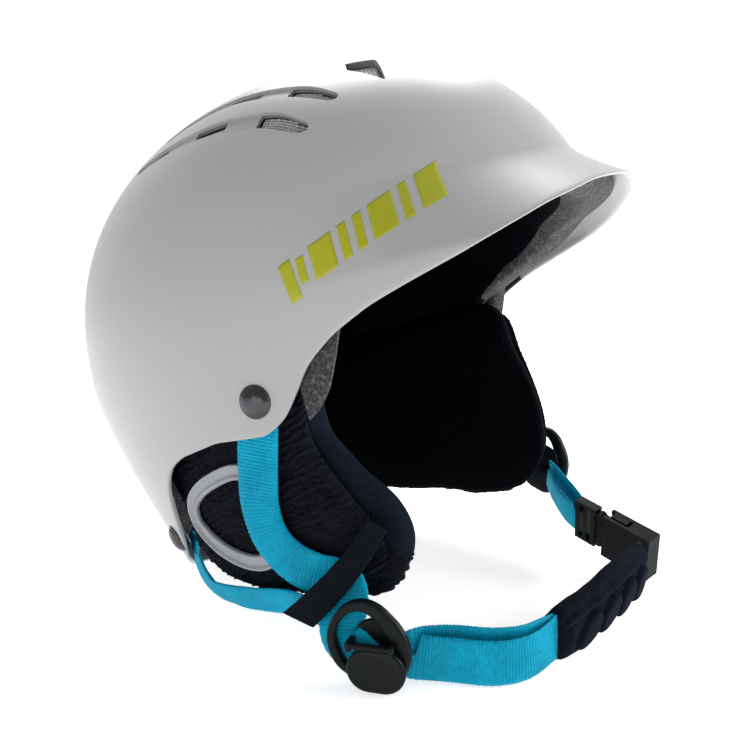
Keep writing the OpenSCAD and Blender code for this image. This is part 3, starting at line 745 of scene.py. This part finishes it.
def wire_patch(u, z, half, level, side):
    """Woven wires along and across a strip of the dome, whose half width along (u, z) is half."""
    pitch = WIRE_PITCH
    p, n = dome(u, z), dome_normal(u, z)
    s = np.concatenate([[0], np.cumsum(np.linalg.norm(np.diff(p, axis=0), axis=1))])
    count = max(3, int(s[-1] / 0.6))
    t = np.linspace(0, s[-1], count)
    p, n = (np.stack([np.interp(t, s, c) for c in v.T], 1) for v in (p, n))
    n, half = unit(n), np.interp(t, s, half) + 0.5
    across = unit(np.cross(n, unit(np.gradient(p, axis=0))))
    wires = []
    most = int(half.max() / pitch)
    for k in range(-most, most + 1):
        inside = np.abs(k * pitch) < half
        if inside.sum() < 3:
            continue
        weave = WIRE * 0.8 * np.cos(math.pi * t / pitch + math.pi * k)
        pts = p + across * (k * pitch) - n * (level - weave[:, None])
        wires.append(wire(pts[inside], side))
    for i in range(int(s[-1] / pitch) + 1):
        c = [np.interp(i * pitch, t, v) for v in (*p.T, *across.T, *n.T)]
        pm, am, nm = np.array(c[:3]), np.array(c[3:6]), np.array(c[6:9])
        h = np.interp(i * pitch, t, half)
        v = np.linspace(-h, h, 14)
        weave = -WIRE * 0.8 * np.cos(math.pi * v / pitch + math.pi * i)
        wires.append(wire(pm + am * v[:, None] - nm * (level - weave[:, None]), side))
    return wires


def build_vent_meshes():
    for side, word in SIDES:
        wires = []
        for vent in (SIDE_VENT, TOP_VENT):
            for i, j in VENT_OPEN:
                wires += wire_patch(*vent_path(vent, i, j), 4.2, side)
        ob = join("vent_wires_" + word, wires)
        settle(ob, "helmet", "vent_mesh_" + word)
    wires = []
    q = np.array([dome(*c) - 3.6 * dome_normal(*c) for c in FRONT_VENT])
    q = q + unit(q - q.mean(0)) * 2.0
    for side in (0, 1):
        for count, (a, b, c, d) in ((17, q[[0, 3, 1, 2]]), (10, q[[0, 1, 3, 2]])):
            for t in np.linspace(0, 1, count):
                wires.append(wire(even([a * (1 - t) + b * t, c * (1 - t) + d * t], 1.0), side))
    ob = join("vent_wires_front", wires)
    settle(ob, "helmet", "vent_mesh_front")


# ---- rivets


def lathe(name, profile, place, axes, mat, steps=64):
    """Turned piece: profile is (radius, height) from the middle out, on the axis axes[0]."""
    out, a, b = axes
    ang = np.arange(steps) * 2 * math.pi / steps
    rings = [place + out * h + r * (np.cos(ang)[:, None] * a + np.sin(ang)[:, None] * b) for r, h in profile]
    return skin(name, rings, mat)


def build_rivets():
    cap = [(0.3, 2.95), (1.6, 2.9), (3.2, 2.62), (4.6, 2.15), (5.7, 1.5), (6.25, 0.95), (6.42, 0.72), (6.6, 0.68),
           (6.9, 0.62), (7.0, 0.4), (6.95, 0.05), (6.7, -0.5), (2.5, -0.6), (2.5, -5.0), (0.3, -5.0)]
    for side, word in SIDES:
        for kind, at in (("side", SIDE_RIVET), ("rear", REAR_RIVET)):
            place, out, a, b = rivet_frame(at, side)
            fine = even(catmull(cap, 3), 0.25)
            ob = lathe(kind + "_rivet_cap_" + word, fine, place, (out, a, b), M_RIVET)
            sharpen(ob, 50)
            settle(ob, "helmet", f"{kind}_rivet_{word}")


# ---- soft pads


def flap_edge(outline, around):
    """Even points round an outline, with their middle."""
    edge = catmull(outline, 24, closed=True)
    length = np.linalg.norm(np.diff(np.vstack([edge, edge[:1]]), axis=0), axis=1).sum()
    edge = even(edge, length / around, closed=True)[:around]
    return edge, edge.mean(0)


def pillow_points(outline, lift, half, rings, around):
    """Pad's rings in the shell frame, from the outer face's middle round the edge to the inner face's middle,
    with how many of them are on the outer face."""
    edge, middle = flap_edge(outline, around)
    share = np.sin(np.linspace(0.03, 0.5, rings) * math.pi)
    rows = [(s, 1) for s in share] + [(s, -1) for s in share[:-1][::-3]]
    out = [ear(middle + (edge - middle) * s, lift + way * (half * (1 - s**2.6) ** 0.5)) for s, way in rows]
    return np.array(out), len(share)


def roll_points(outline, lift, half, around):
    """Roll of even thickness: rings round a full rounded edge from one face's middle to the other's."""
    edge, middle = flap_edge(outline, around)
    size = np.linalg.norm(edge - middle, axis=1, keepdims=True)
    core = middle + (edge - middle) * (1 - half / size)
    shares = (0.05, 0.2, 0.4, 0.6, 0.8, 1.0)
    rows = [(s, 0.0, 1.0) for s in shares]
    rows += [(1.0, math.sin(a), math.cos(a)) for a in np.radians([25, 50, 75, 105, 130, 155])]
    rows += [(s, 0.0, -1.0) for s in shares[::-1]]
    out = []
    for share, beyond, face in rows:
        ring = middle + (core - middle) * share + (edge - middle) / size * half * beyond
        out.append(ear(ring, lift + half * face))
    return np.array(out)


def crinkle(y, z, seed, slant=-14.0, pitch=2.9):
    """Height from 0 to 1 of short wavy ridges, as on quilted elastic cloth."""
    c, s = math.cos(math.radians(slant)), math.sin(math.radians(slant))
    a, b = y * c + z * s, -y * s + z * c
    sizes = ((8.0, 6.0), (2.6, 3.5), (4.0, 1.7))
    wander, shake, gaps = (value_noise(np.stack([a / k, b / m], 1), 1.0, seed + i) for i, (k, m) in enumerate(sizes))
    wave = 0.5 + 0.5 * np.sin(2 * math.pi * (b / pitch + 0.4 * wander + 0.3 * shake))
    broken = 0.3 + 0.7 * np.clip(0.6 + 1.1 * gaps, 0, 1)
    return wave**1.4 * broken


EAR_RIGHT = [(-28, -17), (-30, -44), (-38, -66), (-46, -84), (-46, -97), (-36, -104), (-20, -106.5),
             (0, -105.5), (20, -102), (42, -94.5), (55, -83), (58, -66), (56, -46), (50, -22), (40, -15), (5, -14)]
EAR_LEFT = [(-58, -12), (-66, -36), (-71, -66), (-68, -88), (-56, -101), (-40, -107), (-18, -107),
            (4, -103), (26, -99), (46, -93), (60, -78), (64, -56), (60, -34), (50, -14), (-10, -12)]
CUSHION_RIGHT = [(-29, -18), (-34, -40), (-44, -60), (-53, -76), (-55, -92), (-48, -106), (-35, -114), (-18, -113),
                 (2, -108), (22, -101), (40, -94), (50, -82), (52, -62), (50, -42), (44, -22), (5, -15)]
CUSHION_LEFT = [(-58, -6), (-67, -34), (-73, -64), (-69, -90), (-55, -106), (-38, -111), (-18, -110),
                (4, -105), (26, -101), (46, -93), (62, -76), (66, -52), (62, -30), (52, -8), (-10, -4)]


def build_ear_pads():
    """Outer pads: quilted crinkle cloth, with the ridges as real geometry."""
    for side, word in SIDES:
        rings, face = pillow_points((EAR_RIGHT, EAR_LEFT)[side], 3.2, 5.0, 84, 520)
        flat = rings.reshape(-1, 3)
        fade = np.ones(len(rings))
        fade[face:] = 0.0
        fade[:2] = 0.6
        h = crinkle(flat[:, 1], flat[:, 2], 3 + side).reshape(rings.shape[:2])
        lump = value_noise(flat[:, 1:] / 18.0, 1.0, 11 + side).reshape(rings.shape[:2])
        rings[..., 0] -= fade[:, None] * (1.9 * (h - 0.4) + 0.7 * lump)
        ob = skin("ear_pad_cloth_" + word, stand(rings, side), M_CRINKLE)
        settle(ob, "helmet", "ear_pad_" + word)


def inflate(ob, cap, pressure=3.0, frames=20):
    """Blow a piece up a little as cloth, and hold each point within cap of where it was."""
    start = np.array([v.co for v in ob.data.vertices])
    mod = ob.modifiers.new("cloth", "CLOTH")
    st = mod.settings
    st.use_pressure = True
    st.uniform_pressure_force = pressure
    st.effector_weights.gravity = 0
    st.quality = 5
    st.tension_stiffness = st.compression_stiffness = 18
    st.bending_stiffness = 0.6
    mod.point_cache.frame_start = 1
    mod.point_cache.frame_end = frames
    for k in range(1, frames + 1):
        bpy.context.scene.frame_set(k)
    apply_modifiers(ob)
    bpy.context.scene.frame_set(1)
    move = np.array([v.co for v in ob.data.vertices]) - start
    size = np.linalg.norm(move, axis=1, keepdims=True)
    move = move * np.minimum(1, cap * MM / np.maximum(size, 1e-9))
    ob.data.vertices.foreach_set("co", (start + move).ravel())
    ob.data.update()


def subdivide(ob, levels):
    mod = ob.modifiers.new("sub", "SUBSURF")
    mod.levels = mod.render_levels = levels
    apply_modifiers(ob)
    for poly in ob.data.polygons:
        poly.use_smooth = True


def points_of(ob):
    """Points of a piece with their normals."""
    found = []
    for key in ("co", "normal"):
        v = np.zeros(len(ob.data.vertices) * 3)
        ob.data.vertices.foreach_get(key, v)
        found.append(v.reshape(-1, 3))
    return found[0] / MM, found[1]


def set_points(ob, p):
    ob.data.vertices.foreach_set("co", (np.asarray(p) * MM).ravel())
    ob.data.update()


def build_cushions():
    """Smooth rolls behind the outer pads, gathered into crinkles under the keeper."""
    for side, word in SIDES:
        rings = roll_points((CUSHION_RIGHT, CUSHION_LEFT)[side], -7.6, 5.5, 96)
        # The far (left) cushion gets the near-black lining in place of the slate cloth: painted shade on the same
        # cloth
        ob = skin("ear_cushion_cloth_" + word, stand(rings, side), M_LINING_AND_CUSHION_SHADE if side else M_SLATE)
        inflate(ob, 2.2)
        subdivide(ob, 3)
        p, n = points_of(ob)
        h = unrow(p)
        h[:, 0] = -np.abs(h[:, 0])
        outer = np.clip((-h[:, 0] - ear_x(h[:, 1], h[:, 2]) + 9) / 2, 0, 1)
        low = np.clip((-h[:, 2] - (95 - 1.42 * (h[:, 1] + 50))) / 4, 0, 1) * outer
        ridge = crinkle(h[:, 1], h[:, 2], 21 + side, slant=4.0)
        soft = value_noise(h / 14.0, 1.0, 5)
        p = p + n * (low * (ridge - 0.4) * 1.6 + 0.45 * soft)[:, None]
        set_points(ob, p)
        ob.data.materials.append(M_CRINKLE)
        index = (low > 0.5).astype(int)
        for poly in ob.data.polygons:
            poly.material_index = int(index[list(poly.vertices)].mean() > 0.5)
        settle(ob, "helmet", "ear_cushion_" + word)


def dome_patch(name, u0, u1, z0, z1, back, depth, mat, side, seed):
    """Comfort pad on the inside of the foam, with rolled edges and a slightly quilted face."""
    a, b = np.meshgrid(np.linspace(-1, 1, 26), np.linspace(-1, 1, 26), indexing="ij")
    edge = np.maximum(np.abs(a), np.abs(b))
    # A square with rounded corners
    u = (u0 + u1) / 2 + (u1 - u0) / 2 * (a * np.sqrt(1 - 0.28 * b**2))
    z = (z0 + z1) / 2 + (z1 - z0) / 2 * (b * np.sqrt(1 - 0.28 * a**2))
    crown = (1 - edge**4) ** 0.5
    quilt = 0.5 * value_noise(np.stack([u.ravel() / 7, z.ravel() / 7], 1), 1.0, seed).reshape(u.shape)
    front = inward(dome(u, z), (back + 1 + depth * 0.8 * crown + quilt * crown)[..., None])
    ob = plate(name, stand(front, side), stand(inward(dome(u, z), back), side), mat)
    fix_normals(ob)
    subdivide(ob, 1)
    return ob


def build_comfort_pads():
    back = 24.4
    pads = [("brow_pad", -50, 50, 40, 64, 0), ("side_pad_right", -118, -70, -6, 40, 0),
            ("side_pad_left", -118, -70, -6, 40, 1), ("nape_pad", 152, 208, -84, -44, 0)]
    for k, (name, u0, u1, z0, z1, side) in enumerate(pads):
        ob = dome_patch(name + "_cloth", u0, u1, z0, z1, back, 6.0, M_LINING_AND_CUSHION_SHADE, side, 30 + k)
        settle(ob, "helmet", name)
    u = np.arange(0, 360, 5.0)
    # Angle from the top and share of the pad's depth there
    rows = [(3, 0.96), (8, 1.0), (15, 1.0), (22, 0.82), (25, 0.8), (28, 0.98), (35, 1.0), (42, 0.96), (47, 0.75),
            (49.5, 0.4), (49.5, 0.1), (47, 0.0), (30, 0.0), (5, 0.0)]
    rings = [inward(dome(u, TOP * math.cos(math.radians(a))), back + 6.6 * d) for a, d in rows]
    ob = skin("crown_pad_cloth", row(np.array(rings)), M_LINING_AND_CUSHION_SHADE)
    subdivide(ob, 1)
    settle(ob, "helmet", "crown_pad")


# ---- flap rings, straps, keepers

RING = [(42, -60), (34, -54), (22, -50), (9, -48), (0, -51), (-3.5, -60), (-3.5, -74), (0, -85), (8, -89),
        (20, -86.5), (33, -79), (42, -69)]
RING_SHIFT = np.array([(0, 0), (-8, 4)])


def build_rings():
    """Moulded oval rings with a groove between two lips."""
    profile = [(-3.5, -0.9), (-3.55, 0.6), (-3.2, 1.35), (-2.6, 1.45), (-2.1, 1.0), (-1.5, 0.2), (-0.9, 0.05),
               (0.2, 0.1), (1.1, 0.3), (1.6, 0.9), (2.1, 1.25), (2.7, 1.3), (3.2, 1.0), (3.5, 0.4), (3.5, -0.9)]
    for side, word in SIDES:
        path = even(catmull(np.array(RING) + RING_SHIFT[side], 12, closed=True), 1.1, closed=True)
        ahead = unit(np.roll(path, -1, 0) - np.roll(path, 1, 0))
        out = np.stack([ahead[:, 1], -ahead[:, 0]], 1)
        if np.mean(np.sum(out * (path - path.mean(0)), 1)) < 0:
            out = -out
        rings = [[ear(p - n * a, 9.4 + h) for a, h in profile] for p, n in zip(path, out)]
        ob = skin("ear_ring_moulding_" + word, stand(np.array(rings), side), M_RING, caps=False, wrap=True)
        sharpen(ob, 60)
        settle(ob, "helmet", "ear_ring_" + word)


# Right and left. Front straps and keepers are (y, z) on the flap, rear straps are points.
FRONT_STRAP = [[(-17.6, -15.5), (-12.5, -32), (-6, -50), (-2, -64), (-2.5, -78), (-9, -89), (-19, -96.5),
                (-30, -103)],
               [(-17.8, -15.5), (-14.5, -32), (-12, -48), (-13.5, -62), (-19, -75), (-28, -85), (-39, -92.5),
                (-47, -97)]]
REAR_STRAP = [[(-69, 63, -77.5), (-68.8, 65.3, -87), (-72, 60.5, -95.5), (-77.5, 50, -101.5), (-83.5, 36, -104.5),
               (-88, 16, -106.5), (-91.5, -2, -108.2), (-95.5, -17, -112)],
              [(-69, 63, -77.5), (-70, 63.5, -84), (-76.5, 56, -87.5), (-84.5, 41, -90), (-90, 22, -92),
               (-92.5, 3, -94.5), (-94, -16, -99), (-95, -34, -102.5)]]
KEEPER = [[(-50, -81), (-41.5, -90), (-31, -99), (-19, -107), (-11, -111.4)],
          [(-60, -72), (-52, -80), (-40, -88.5), (-29, -95.5), (-19, -101.5)]]
KEEPER_LIFT = [10, 12.8, 17, 21, 21.6]


def turn(v):
    """Direction from the shell frame to the row frame."""
    return row(v) - row(np.zeros(3))


def face_normals(path, side):
    """Normals out of the flap's face at points of the shell frame."""
    y, z = path[:, 1], path[:, 2]
    dy = (ear_x(y + 1, z) - ear_x(y - 1, z)) / 2
    dz = (ear_x(y, z + 1) - ear_x(y, z - 1)) / 2
    n = unit(np.stack([-np.ones_like(y), -dy, -dz], 1))
    return turn(flip(n, side))


def build_straps():
    for side, word in SIDES:
        spots = ear(FRONT_STRAP[side], 11.8)
        # Past the keeper the strap runs into the divider's ring and ends behind its disc
        ends = np.array([divider_place(v, side) for v in ((-14, 3.5, -3.6), (-7.5, -2, -1.4), (-2, -6, 0.2))])
        outward = divider_place([0, 0, 1.0], side) - divider_place([0, 0, 0.0], side)
        path = catmull(np.vstack([stand(spots, side), ends]), 12)
        nrm = catmull(np.vstack([face_normals(spots, side), np.tile(outward, (3, 1))]), 12)
        ob = ribbon("front_webbing_cloth_" + word, path, unit(nrm), 19, 1.5, M_WEB)
        settle(ob, "helmet", "front_webbing_" + word)
        path = catmull(REAR_STRAP[side], 12)
        f = np.linspace(0, 1, len(path))[:, None]
        g1, g2 = np.clip((f - 0.15) / 0.35, 0, 1), np.clip((f - 0.75) / 0.25, 0, 1)
        start, middle, end = np.array([[-0.75, 0.65, 0], [-0.82, 0, -0.55], [-0.9, 0, -0.4]])
        nrm = start * (1 - g1) + (middle * (1 - g2) + end * g2) * g1
        ob = ribbon("rear_webbing_cloth_" + word, stand(path, side), turn(flip(unit(nrm), side)), 18, 1.5, M_WEB)
        settle(ob, "helmet", "rear_webbing_" + word)
        lift = catmull([(v, 0) for v in KEEPER_LIFT], 12)[:, 0]
        spots = catmull(KEEPER[side], 12)
        path = np.array([ear(p, h) for p, h in zip(spots, lift)])
        ease = ([0, 0.35, 0.7, 1], [0.7, 0.85, 0.95, 1])
        ob = ribbon("strap_keeper_elastic_" + word, stand(path, side), face_normals(path, side), 12.5, 1.2,
                    M_ELASTIC, rib=0.9, rib_depth=0.06, fray=0.05, slant=-3.5 if side else 3.5, ease=ease)
        settle(ob, "helmet", "strap_keeper_" + word)


# ---- dividers

DIVIDER_AT = [np.array([-99.5, -142, 16.0]), np.array([98, -149, 43.0])]
DIVIDER_YAW, LEFT_TILT = math.radians(12), math.radians(18)
DISC_AT, DISC_R, DISC_STRETCH = (2.5, -6.2), 9.0, 3.1


def rot(axis, a):
    return np.array(Matrix.Rotation(a, 3, axis))


def divider_place(p, side):
    """Divider's own frame (X forward along the strap, Y up, Z out) to the row frame."""
    p = np.asarray(p, float)
    q = p @ (rot("Z", -math.pi / 2) @ rot("X", math.pi / 2)).T
    q = q @ rot("Z", DIVIDER_YAW).T
    if side:
        q = q @ rot("X", LEFT_TILT).T * [-1, 1, 1]
    return q + DIVIDER_AT[side]


# Ring's centre line with its half width: X forward along the strap, Y up
RING_LINE = [(-15.7, -2.2, 2.0), (-17.1, 4.2, 1.8), (-15.4, 10.6, 1.7), (-10.9, 16.2, 1.9), (-4.6, 18.5, 2.4),
             (0.8, 16.9, 2.9), (4.9, 13.4, 3.2), (8.9, 8.9, 3.4), (11.6, 3.6, 3.3), (12.4, -2.6, 3.1),
             (10.2, -7.6, 2.6), (3, -10.5, 2.2), (-5, -11, 1.9), (-12.2, -7.4, 1.9)]
RING_HALF, DISC_BACK = 2.2, -4.4


def ring_solid(place):
    """Moulded ring with a rounded section, wider where it meets the chin strap."""
    line = catmull(RING_LINE, 10, closed=True)
    section = [(-1, -0.5), (-1, 0.5), (-0.85, 0.85), (-0.5, 1), (0.5, 1), (0.85, 0.85), (1, 0.5), (1, -0.5),
               (0.85, -0.85), (0.5, -1), (-0.5, -1), (-0.85, -0.85)]
    ahead = unit(np.roll(line[:, :2], -1, 0) - np.roll(line[:, :2], 1, 0))
    out = np.stack([ahead[:, 1], -ahead[:, 0]], 1)
    rings = [[place([*(p[:2] + n * a * p[2]), RING_HALF * h]) for a, h in section] for p, n in zip(line, out)]
    return skin("r", rings, M_DIVIDER, caps=False, wrap=True)


def oval_solid(place, centre, r, stretch, z0, z1, bevel, dish=0.0):
    """Rounded oval disc, dished on its top face."""
    a = np.linspace(-math.pi / 2, math.pi / 2, 24)
    edge = np.stack([stretch + r * np.cos(a), r * np.sin(a)], 1)
    edge = np.vstack([edge, -edge])
    near, far = 1 - bevel / r, 1 - bevel / r * 0.3
    rows = [(0.08, z0), (0.6, z0), (near, z0), (far, z0 + bevel * 0.3), (1, z0 + bevel), (1, z1 - bevel),
            (far, z1 - bevel * 0.3), (near, z1), (0.86, z1), (0.82, z1 - dish * 0.6), (0.78, z1 - dish),
            (0.4, z1 - dish * 0.9), (0.08, z1 - dish * 0.85)]
    rings = [[place([*(np.array(centre) + s * e), z]) for e in edge] for s, z in rows]
    return skin("o", rings, M_DIVIDER)


def block(place, low, high, bevel):
    """Rounded box."""
    verts = [place([(low, high)[(k >> a) & 1][a] for a in range(3)]) for k in range(8)]
    faces = [[0, 2, 3, 1], [4, 5, 7, 6], [0, 1, 5, 4], [2, 6, 7, 3], [0, 4, 6, 2], [1, 3, 7, 5]]
    ob = solid("b", verts, faces, M_DIVIDER)
    mod = ob.modifiers.new("bevel", "BEVEL")
    mod.width = bevel * MM
    mod.segments = 3
    mod.limit_method = "NONE"
    apply_modifiers(ob)
    return ob


def build_dividers():
    for side, word in SIDES:
        place = partial(divider_place, side=side)
        parts = [ring_solid(place),
                 oval_solid(place, DISC_AT, DISC_R - 0.6, DISC_STRETCH, DISC_BACK, -1.5, 0.8),
                 oval_solid(place, (0.6, 3.4), 8.6, 0.6, DISC_BACK, -2.2, 0.8)]
        for x in (-10, 7):
            parts.append(block(place, (x, 0.8, -1.5), (x + 2.5, 4.8, 6.1), 0.7))
        ob = join("divider_body_" + word, parts)
        sharpen(ob, 48)
        settle(ob, "helmet", "divider_" + word)
        parts = [oval_solid(place, DISC_AT, DISC_R, DISC_STRETCH, 2.9, 5.9, 0.9, dish=0.35),
                 block(place, (-7.1, 1.2, 2.8), (6.6, 4.4, 5.6), 1.2)]
        lever = join("lock_lever_disc_" + word, parts)
        sharpen(lever, 48)
        settle(lever, word + "_lever", "lock_lever_" + word)


# ---- chin strap

CHIN = [(-88.2, -153.6, 12), (-84.6, -158.5, 12), (-80, -168, 12), (-75, -183, 12), (-66, -193.5, 12.4),
        (-52.5, -199.5, 13.6)]
PAD = [(-50, -200.8, 13.8), (-36, -204.4, 14.6), (-18, -208.6, 15.8), (0, -212.2, 17.2), (18, -215.2, 18.4),
       (34, -217.2, 19.4)]
LEFT = [(85, -157, 41), (79, -163, 36), (71, -171, 31.5), (66, -176.5, 28.8)]


def flat_out(path):
    """Level directions square to a path."""
    a = np.gradient(np.asarray(path, float), axis=0)
    return unit(np.stack([a[:, 1], -a[:, 0], np.zeros(len(a))], 1))


def build_chin_webbing():
    """Two layers that part in the middle, where the strap turns back on itself at the divider's ring."""
    path = catmull(CHIN + [(-44, -202.3, 14.2)], 14)
    n = len(path)
    out = flat_out(path)
    f = np.sin(np.clip(np.linspace(0, 1.15, n), 0, 1) * math.pi)
    gap, rise = 1.4 + 3.4 * f, 3.4 * np.sqrt(np.maximum(f, 0))
    layers = []
    for layer in (-1, 1):
        p = path + out * (layer * gap / 2)[:, None] - np.array([0, 0, 1.0]) * (layer * rise / 2)[:, None]
        layers.append(ribbon("c", p, out, 19, 1.1, M_WEB, rib=1.35, fray=0.3))
    ob = join("chin_webbing_cloth_right", layers)
    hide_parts("chin_webbing_right")
    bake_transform(ob)


def build_chin_pad():
    """Padded sleeve: blown up as cloth, with a rolled seam along its top and pleats on its outer side."""
    path = catmull(PAD, 6)
    ahead = unit(np.gradient(path, axis=0))
    out = unit(np.stack([ahead[:, 1], -ahead[:, 0], np.zeros(len(ahead))], 1))
    up = unit(np.cross(ahead, out))
    up = np.where(up[:, 2:3] < 0, -up, up)
    ang = np.radians(np.arange(0, 360, 15))
    c, s = np.cos(ang), np.sin(ang)
    t = np.linspace(0, 1, len(path))
    swell = 0.9 - 0.2 * np.clip((t - 0.75) / 0.25, 0, 1)
    rings = []
    for k in range(len(path)):
        a = np.sign(c) * np.abs(c) ** 0.75 * 15 / 2 * swell[k]
        b = np.sign(s) * np.abs(s) ** 0.8 * 27 / 2 * swell[k]
        rings.append(path[k] + out[k] * a[:, None] + up[k] * b[:, None])
    ob = skin("chin_pad_sleeve", rings, M_SLEEVE)
    remesh = ob.modifiers.new("remesh", "REMESH")
    remesh.mode = "VOXEL"
    remesh.voxel_size = 4.0 * MM
    apply_modifiers(ob)
    inflate(ob, 1.6)
    subdivide(ob, 3)
    p, n = points_of(ob)
    # Place of each point along the sleeve and round it
    near = np.argmin(((p[:, None, :] - path[None, ::2, :]) ** 2).sum(2), 1) * 2
    near = np.minimum(near, len(path) - 1)
    rel = p - path[near]
    along = t[near] + np.sum(rel * ahead[near], 1) / (np.linalg.norm(np.diff(path, axis=0), axis=1).sum())
    angle = np.degrees(np.arctan2(np.sum(rel * up[near], 1), np.sum(rel * out[near], 1)))
    seam = hill(angle - 52, 5.0) * 1.3 - hill(angle - 38, 5.0) * 0.7 - hill(angle - 66, 5.0) * 0.5
    height = seam * (np.clip(along / 0.05, 0, 1) * np.clip((1 - along) / 0.05, 0, 1))
    # Leaf-shaped pleats: each starts low at its near end and rises to a point at the seam
    y = (angle + 12) / 46
    for middle in (0.22, 0.42, 0.6, 0.78):
        skew = (along - middle) / 0.1 - 0.55 * y
        leaf = 1 - (np.abs(skew) / 0.95) ** 2 - (y**2) * 0.9
        height = height + 2.3 * np.clip(leaf * 2.4, 0, 1) ** 0.5 - 1.0 * hill(leaf, 0.09)
    height = height + 0.25 * value_noise(p / 9.0, 1.0, 77)
    end_roll = hill(along - 0.02, 0.018) + hill(along - 0.98, 0.018)
    set_points(ob, p + n * (height + 0.5 * end_roll)[:, None])
    settle(ob, "chin_strap", "chin_pad")


BUCKLE_TURN = (math.radians(-112.5), math.radians(11.5), math.radians(15))


def build_left_webbing():
    """Strap from the left divider, folded over the tongue's bar: two layers that bow apart."""
    path = catmull(LEFT + [(63.4, -179.2, 27.2)], 14)
    n = len(path)
    yaw, tilt, roll = BUCKLE_TURN
    turns = Matrix.Rotation(yaw, 3, "Z") @ Matrix.Rotation(tilt, 3, "Y") @ Matrix.Rotation(roll, 3, "X")
    face = np.array(turns) @ [0, 1.0, 0]
    f = np.linspace(0, 1, n)[:, None]
    nrm = unit(np.array([0.68, -0.62, 0.4]) * (1 - f) + face * f)
    bow = np.sin(np.linspace(0.1, 1, n) * math.pi)[:, None]
    wide = unit(np.cross(np.gradient(path, axis=0), nrm))
    wide = np.where(wide[:, 2:3] < 0, -wide, wide)
    near = path - nrm * (0.8 + 2.2 * bow) - wide * 1.6 * bow
    far = path + nrm * (0.8 + 2.4 * bow) + wide * 2.6 * bow
    layers = [ribbon("n", near, nrm, 17.5, 1.1, M_WEB), ribbon("f", far, nrm, 17.5, 1.1, M_WEB)]
    ob = join("chin_webbing_cloth_left", layers)
    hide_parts("chin_webbing_left")
    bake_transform(ob)


# ---- print


def build_print():
    """Slanted bars in place of lettering: raised a hair off the shell, as printed ink is."""
    # Corners as (bearing, height): rear top, rear bottom, front top, front bottom
    a0, a1, b0, b1 = (-67, 27), (-65, 12), (-31, 53), (-32.5, 35.6)
    # Where each bar starts and ends along the line, and how much it is cut down
    spans = [(0.0, 0.075, 0.0), (0.1, 0.15, 0.25), (0.19, 0.33, 0.1), (0.37, 0.42, 0.1), (0.46, 0.51, 0.1),
             (0.55, 0.69, 0.1), (0.73, 0.78, 0.1), (0.83, 0.97, 0.1)]
    bars = []
    for t0, t1, low in spans:
        t = np.linspace(t0, t1, 10)[None, :] + 0.02 * np.linspace(0, 1, 14)[:, None]
        v = np.linspace(low, 1 - low * 0.5, 14)[:, None] * np.ones((1, 10))
        u, z = ((a0[i] * (1 - t) + b0[i] * t) * v + (a1[i] * (1 - t) + b1[i] * t) * (1 - v) for i in (0, 1))
        n = dome_normal(u, z)
        bars.append(plate("p", row(dome(u, z) + n * 0.12), row(dome(u, z) - n * 0.3), M_LIME))
    ob = join("print_bars", bars)
    fix_normals(ob)
    settle(ob, "helmet")


# ---- CAD nodes that stay


def build_kept_nodes():
    """Pieces whose CAD shape is right: they get materials and softened edges."""
    kept = {"rivet_washers": (M_STEEL, 0.15), "lever_pin_right": (M_PIN, 0.2), "lever_pin_left": (M_PIN, 0.2),
            "buckle_socket": (M_BUCKLE, 0.7), "buckle_tongue": (M_BUCKLE, 0.55),
            "prong_upper": (M_BUCKLE, 0.6), "prong_lower": (M_BUCKLE, 0.6)}
    for name, (mat, width) in kept.items():
        ob = nodes[name]
        ob.data.materials.clear()
        ob.data.materials.append(mat)
        mod = ob.modifiers.new("soft_edges", "BEVEL")
        mod.width = width * MM
        mod.segments = 3
        mod.limit_method = "ANGLE"
        mod.angle_limit = math.radians(50)


build_vent_meshes()
build_rivets()
build_ear_pads()
build_cushions()
build_comfort_pads()
build_rings()
build_straps()
build_dividers()
build_chin_webbing()
build_chin_pad()
build_left_webbing()
build_print()
build_kept_nodes()

# ---- floor and lights


FLOOR = 3000
SKY_AXIS = (0.883, 0.469, -0.2)


def build_stage():
    m, nt, b = material("floor_pale")
    tint(nt, b, noise(nt, coords(nt), 3), [(0.3, (0.93, 0.93, 0.93)), (0.7, (0.96, 0.96, 0.96))])
    inputs(b, Roughness=0.9, Emission_Color=(1, 1, 1, 1), Emission_Strength=0.62)
    corners = [(x * FLOOR, y * FLOOR, 0) for x, y in ((-1, -1), (1, -1), (1, 1), (-1, 1))]
    floor = mesh("floor", corners, [[0, 1, 2, 3]], m, False)
    floor.location.z = -0.0006
    world = bpy.data.worlds.new("studio")
    bpy.context.scene.world = world
    world.use_nodes = True
    nt = world.node_tree
    bg = nt.nodes["Background"]
    tex = node(nt, "ShaderNodeTexCoord")
    # White behind the helmet and darker on the camera's side, as between a lit backdrop and a dim room
    turned = node(nt, "ShaderNodeVectorMath", operation="DOT_PRODUCT")
    nt.links.new(tex.outputs["Generated"], turned.inputs[0])
    turned.inputs[1].default_value = SKY_AXIS
    stops = [(0.0, (0.44, 0.445, 0.45)), (0.3, (0.56, 0.56, 0.56)), (0.62, (1, 1, 1)), (1.0, (1, 1, 1))]
    nt.links.new(ramp(nt, turned.outputs["Value"], stops), bg.inputs["Color"])
    bg.inputs["Strength"].default_value = 1.08


def area(name, place, aim, size, power):
    data = bpy.data.lights.new(name, "AREA")
    data.shape = "RECTANGLE"
    data.size, data.size_y = size
    data.energy = power
    ob = bpy.data.objects.new(name, data)
    COL.objects.link(ob)
    ob.location = Vector(place)
    ob.rotation_mode = "QUATERNION"
    ob.rotation_quaternion = (Vector(aim) - Vector(place)).to_track_quat("-Z", "Y")


build_stage()
area("front", (0.55, -1.25, 0.55), (0, -0.15, 0.2), (0.7, 0.6), 13)
area("top", (0.7, 0.3, 1.15), (0, -0.1, 0.2), (0.8, 0.8), 15)
area("low", (-1.1, -0.1, 0.15), (0, -0.05, 0.08), (0.9, 0.25), 1.0)
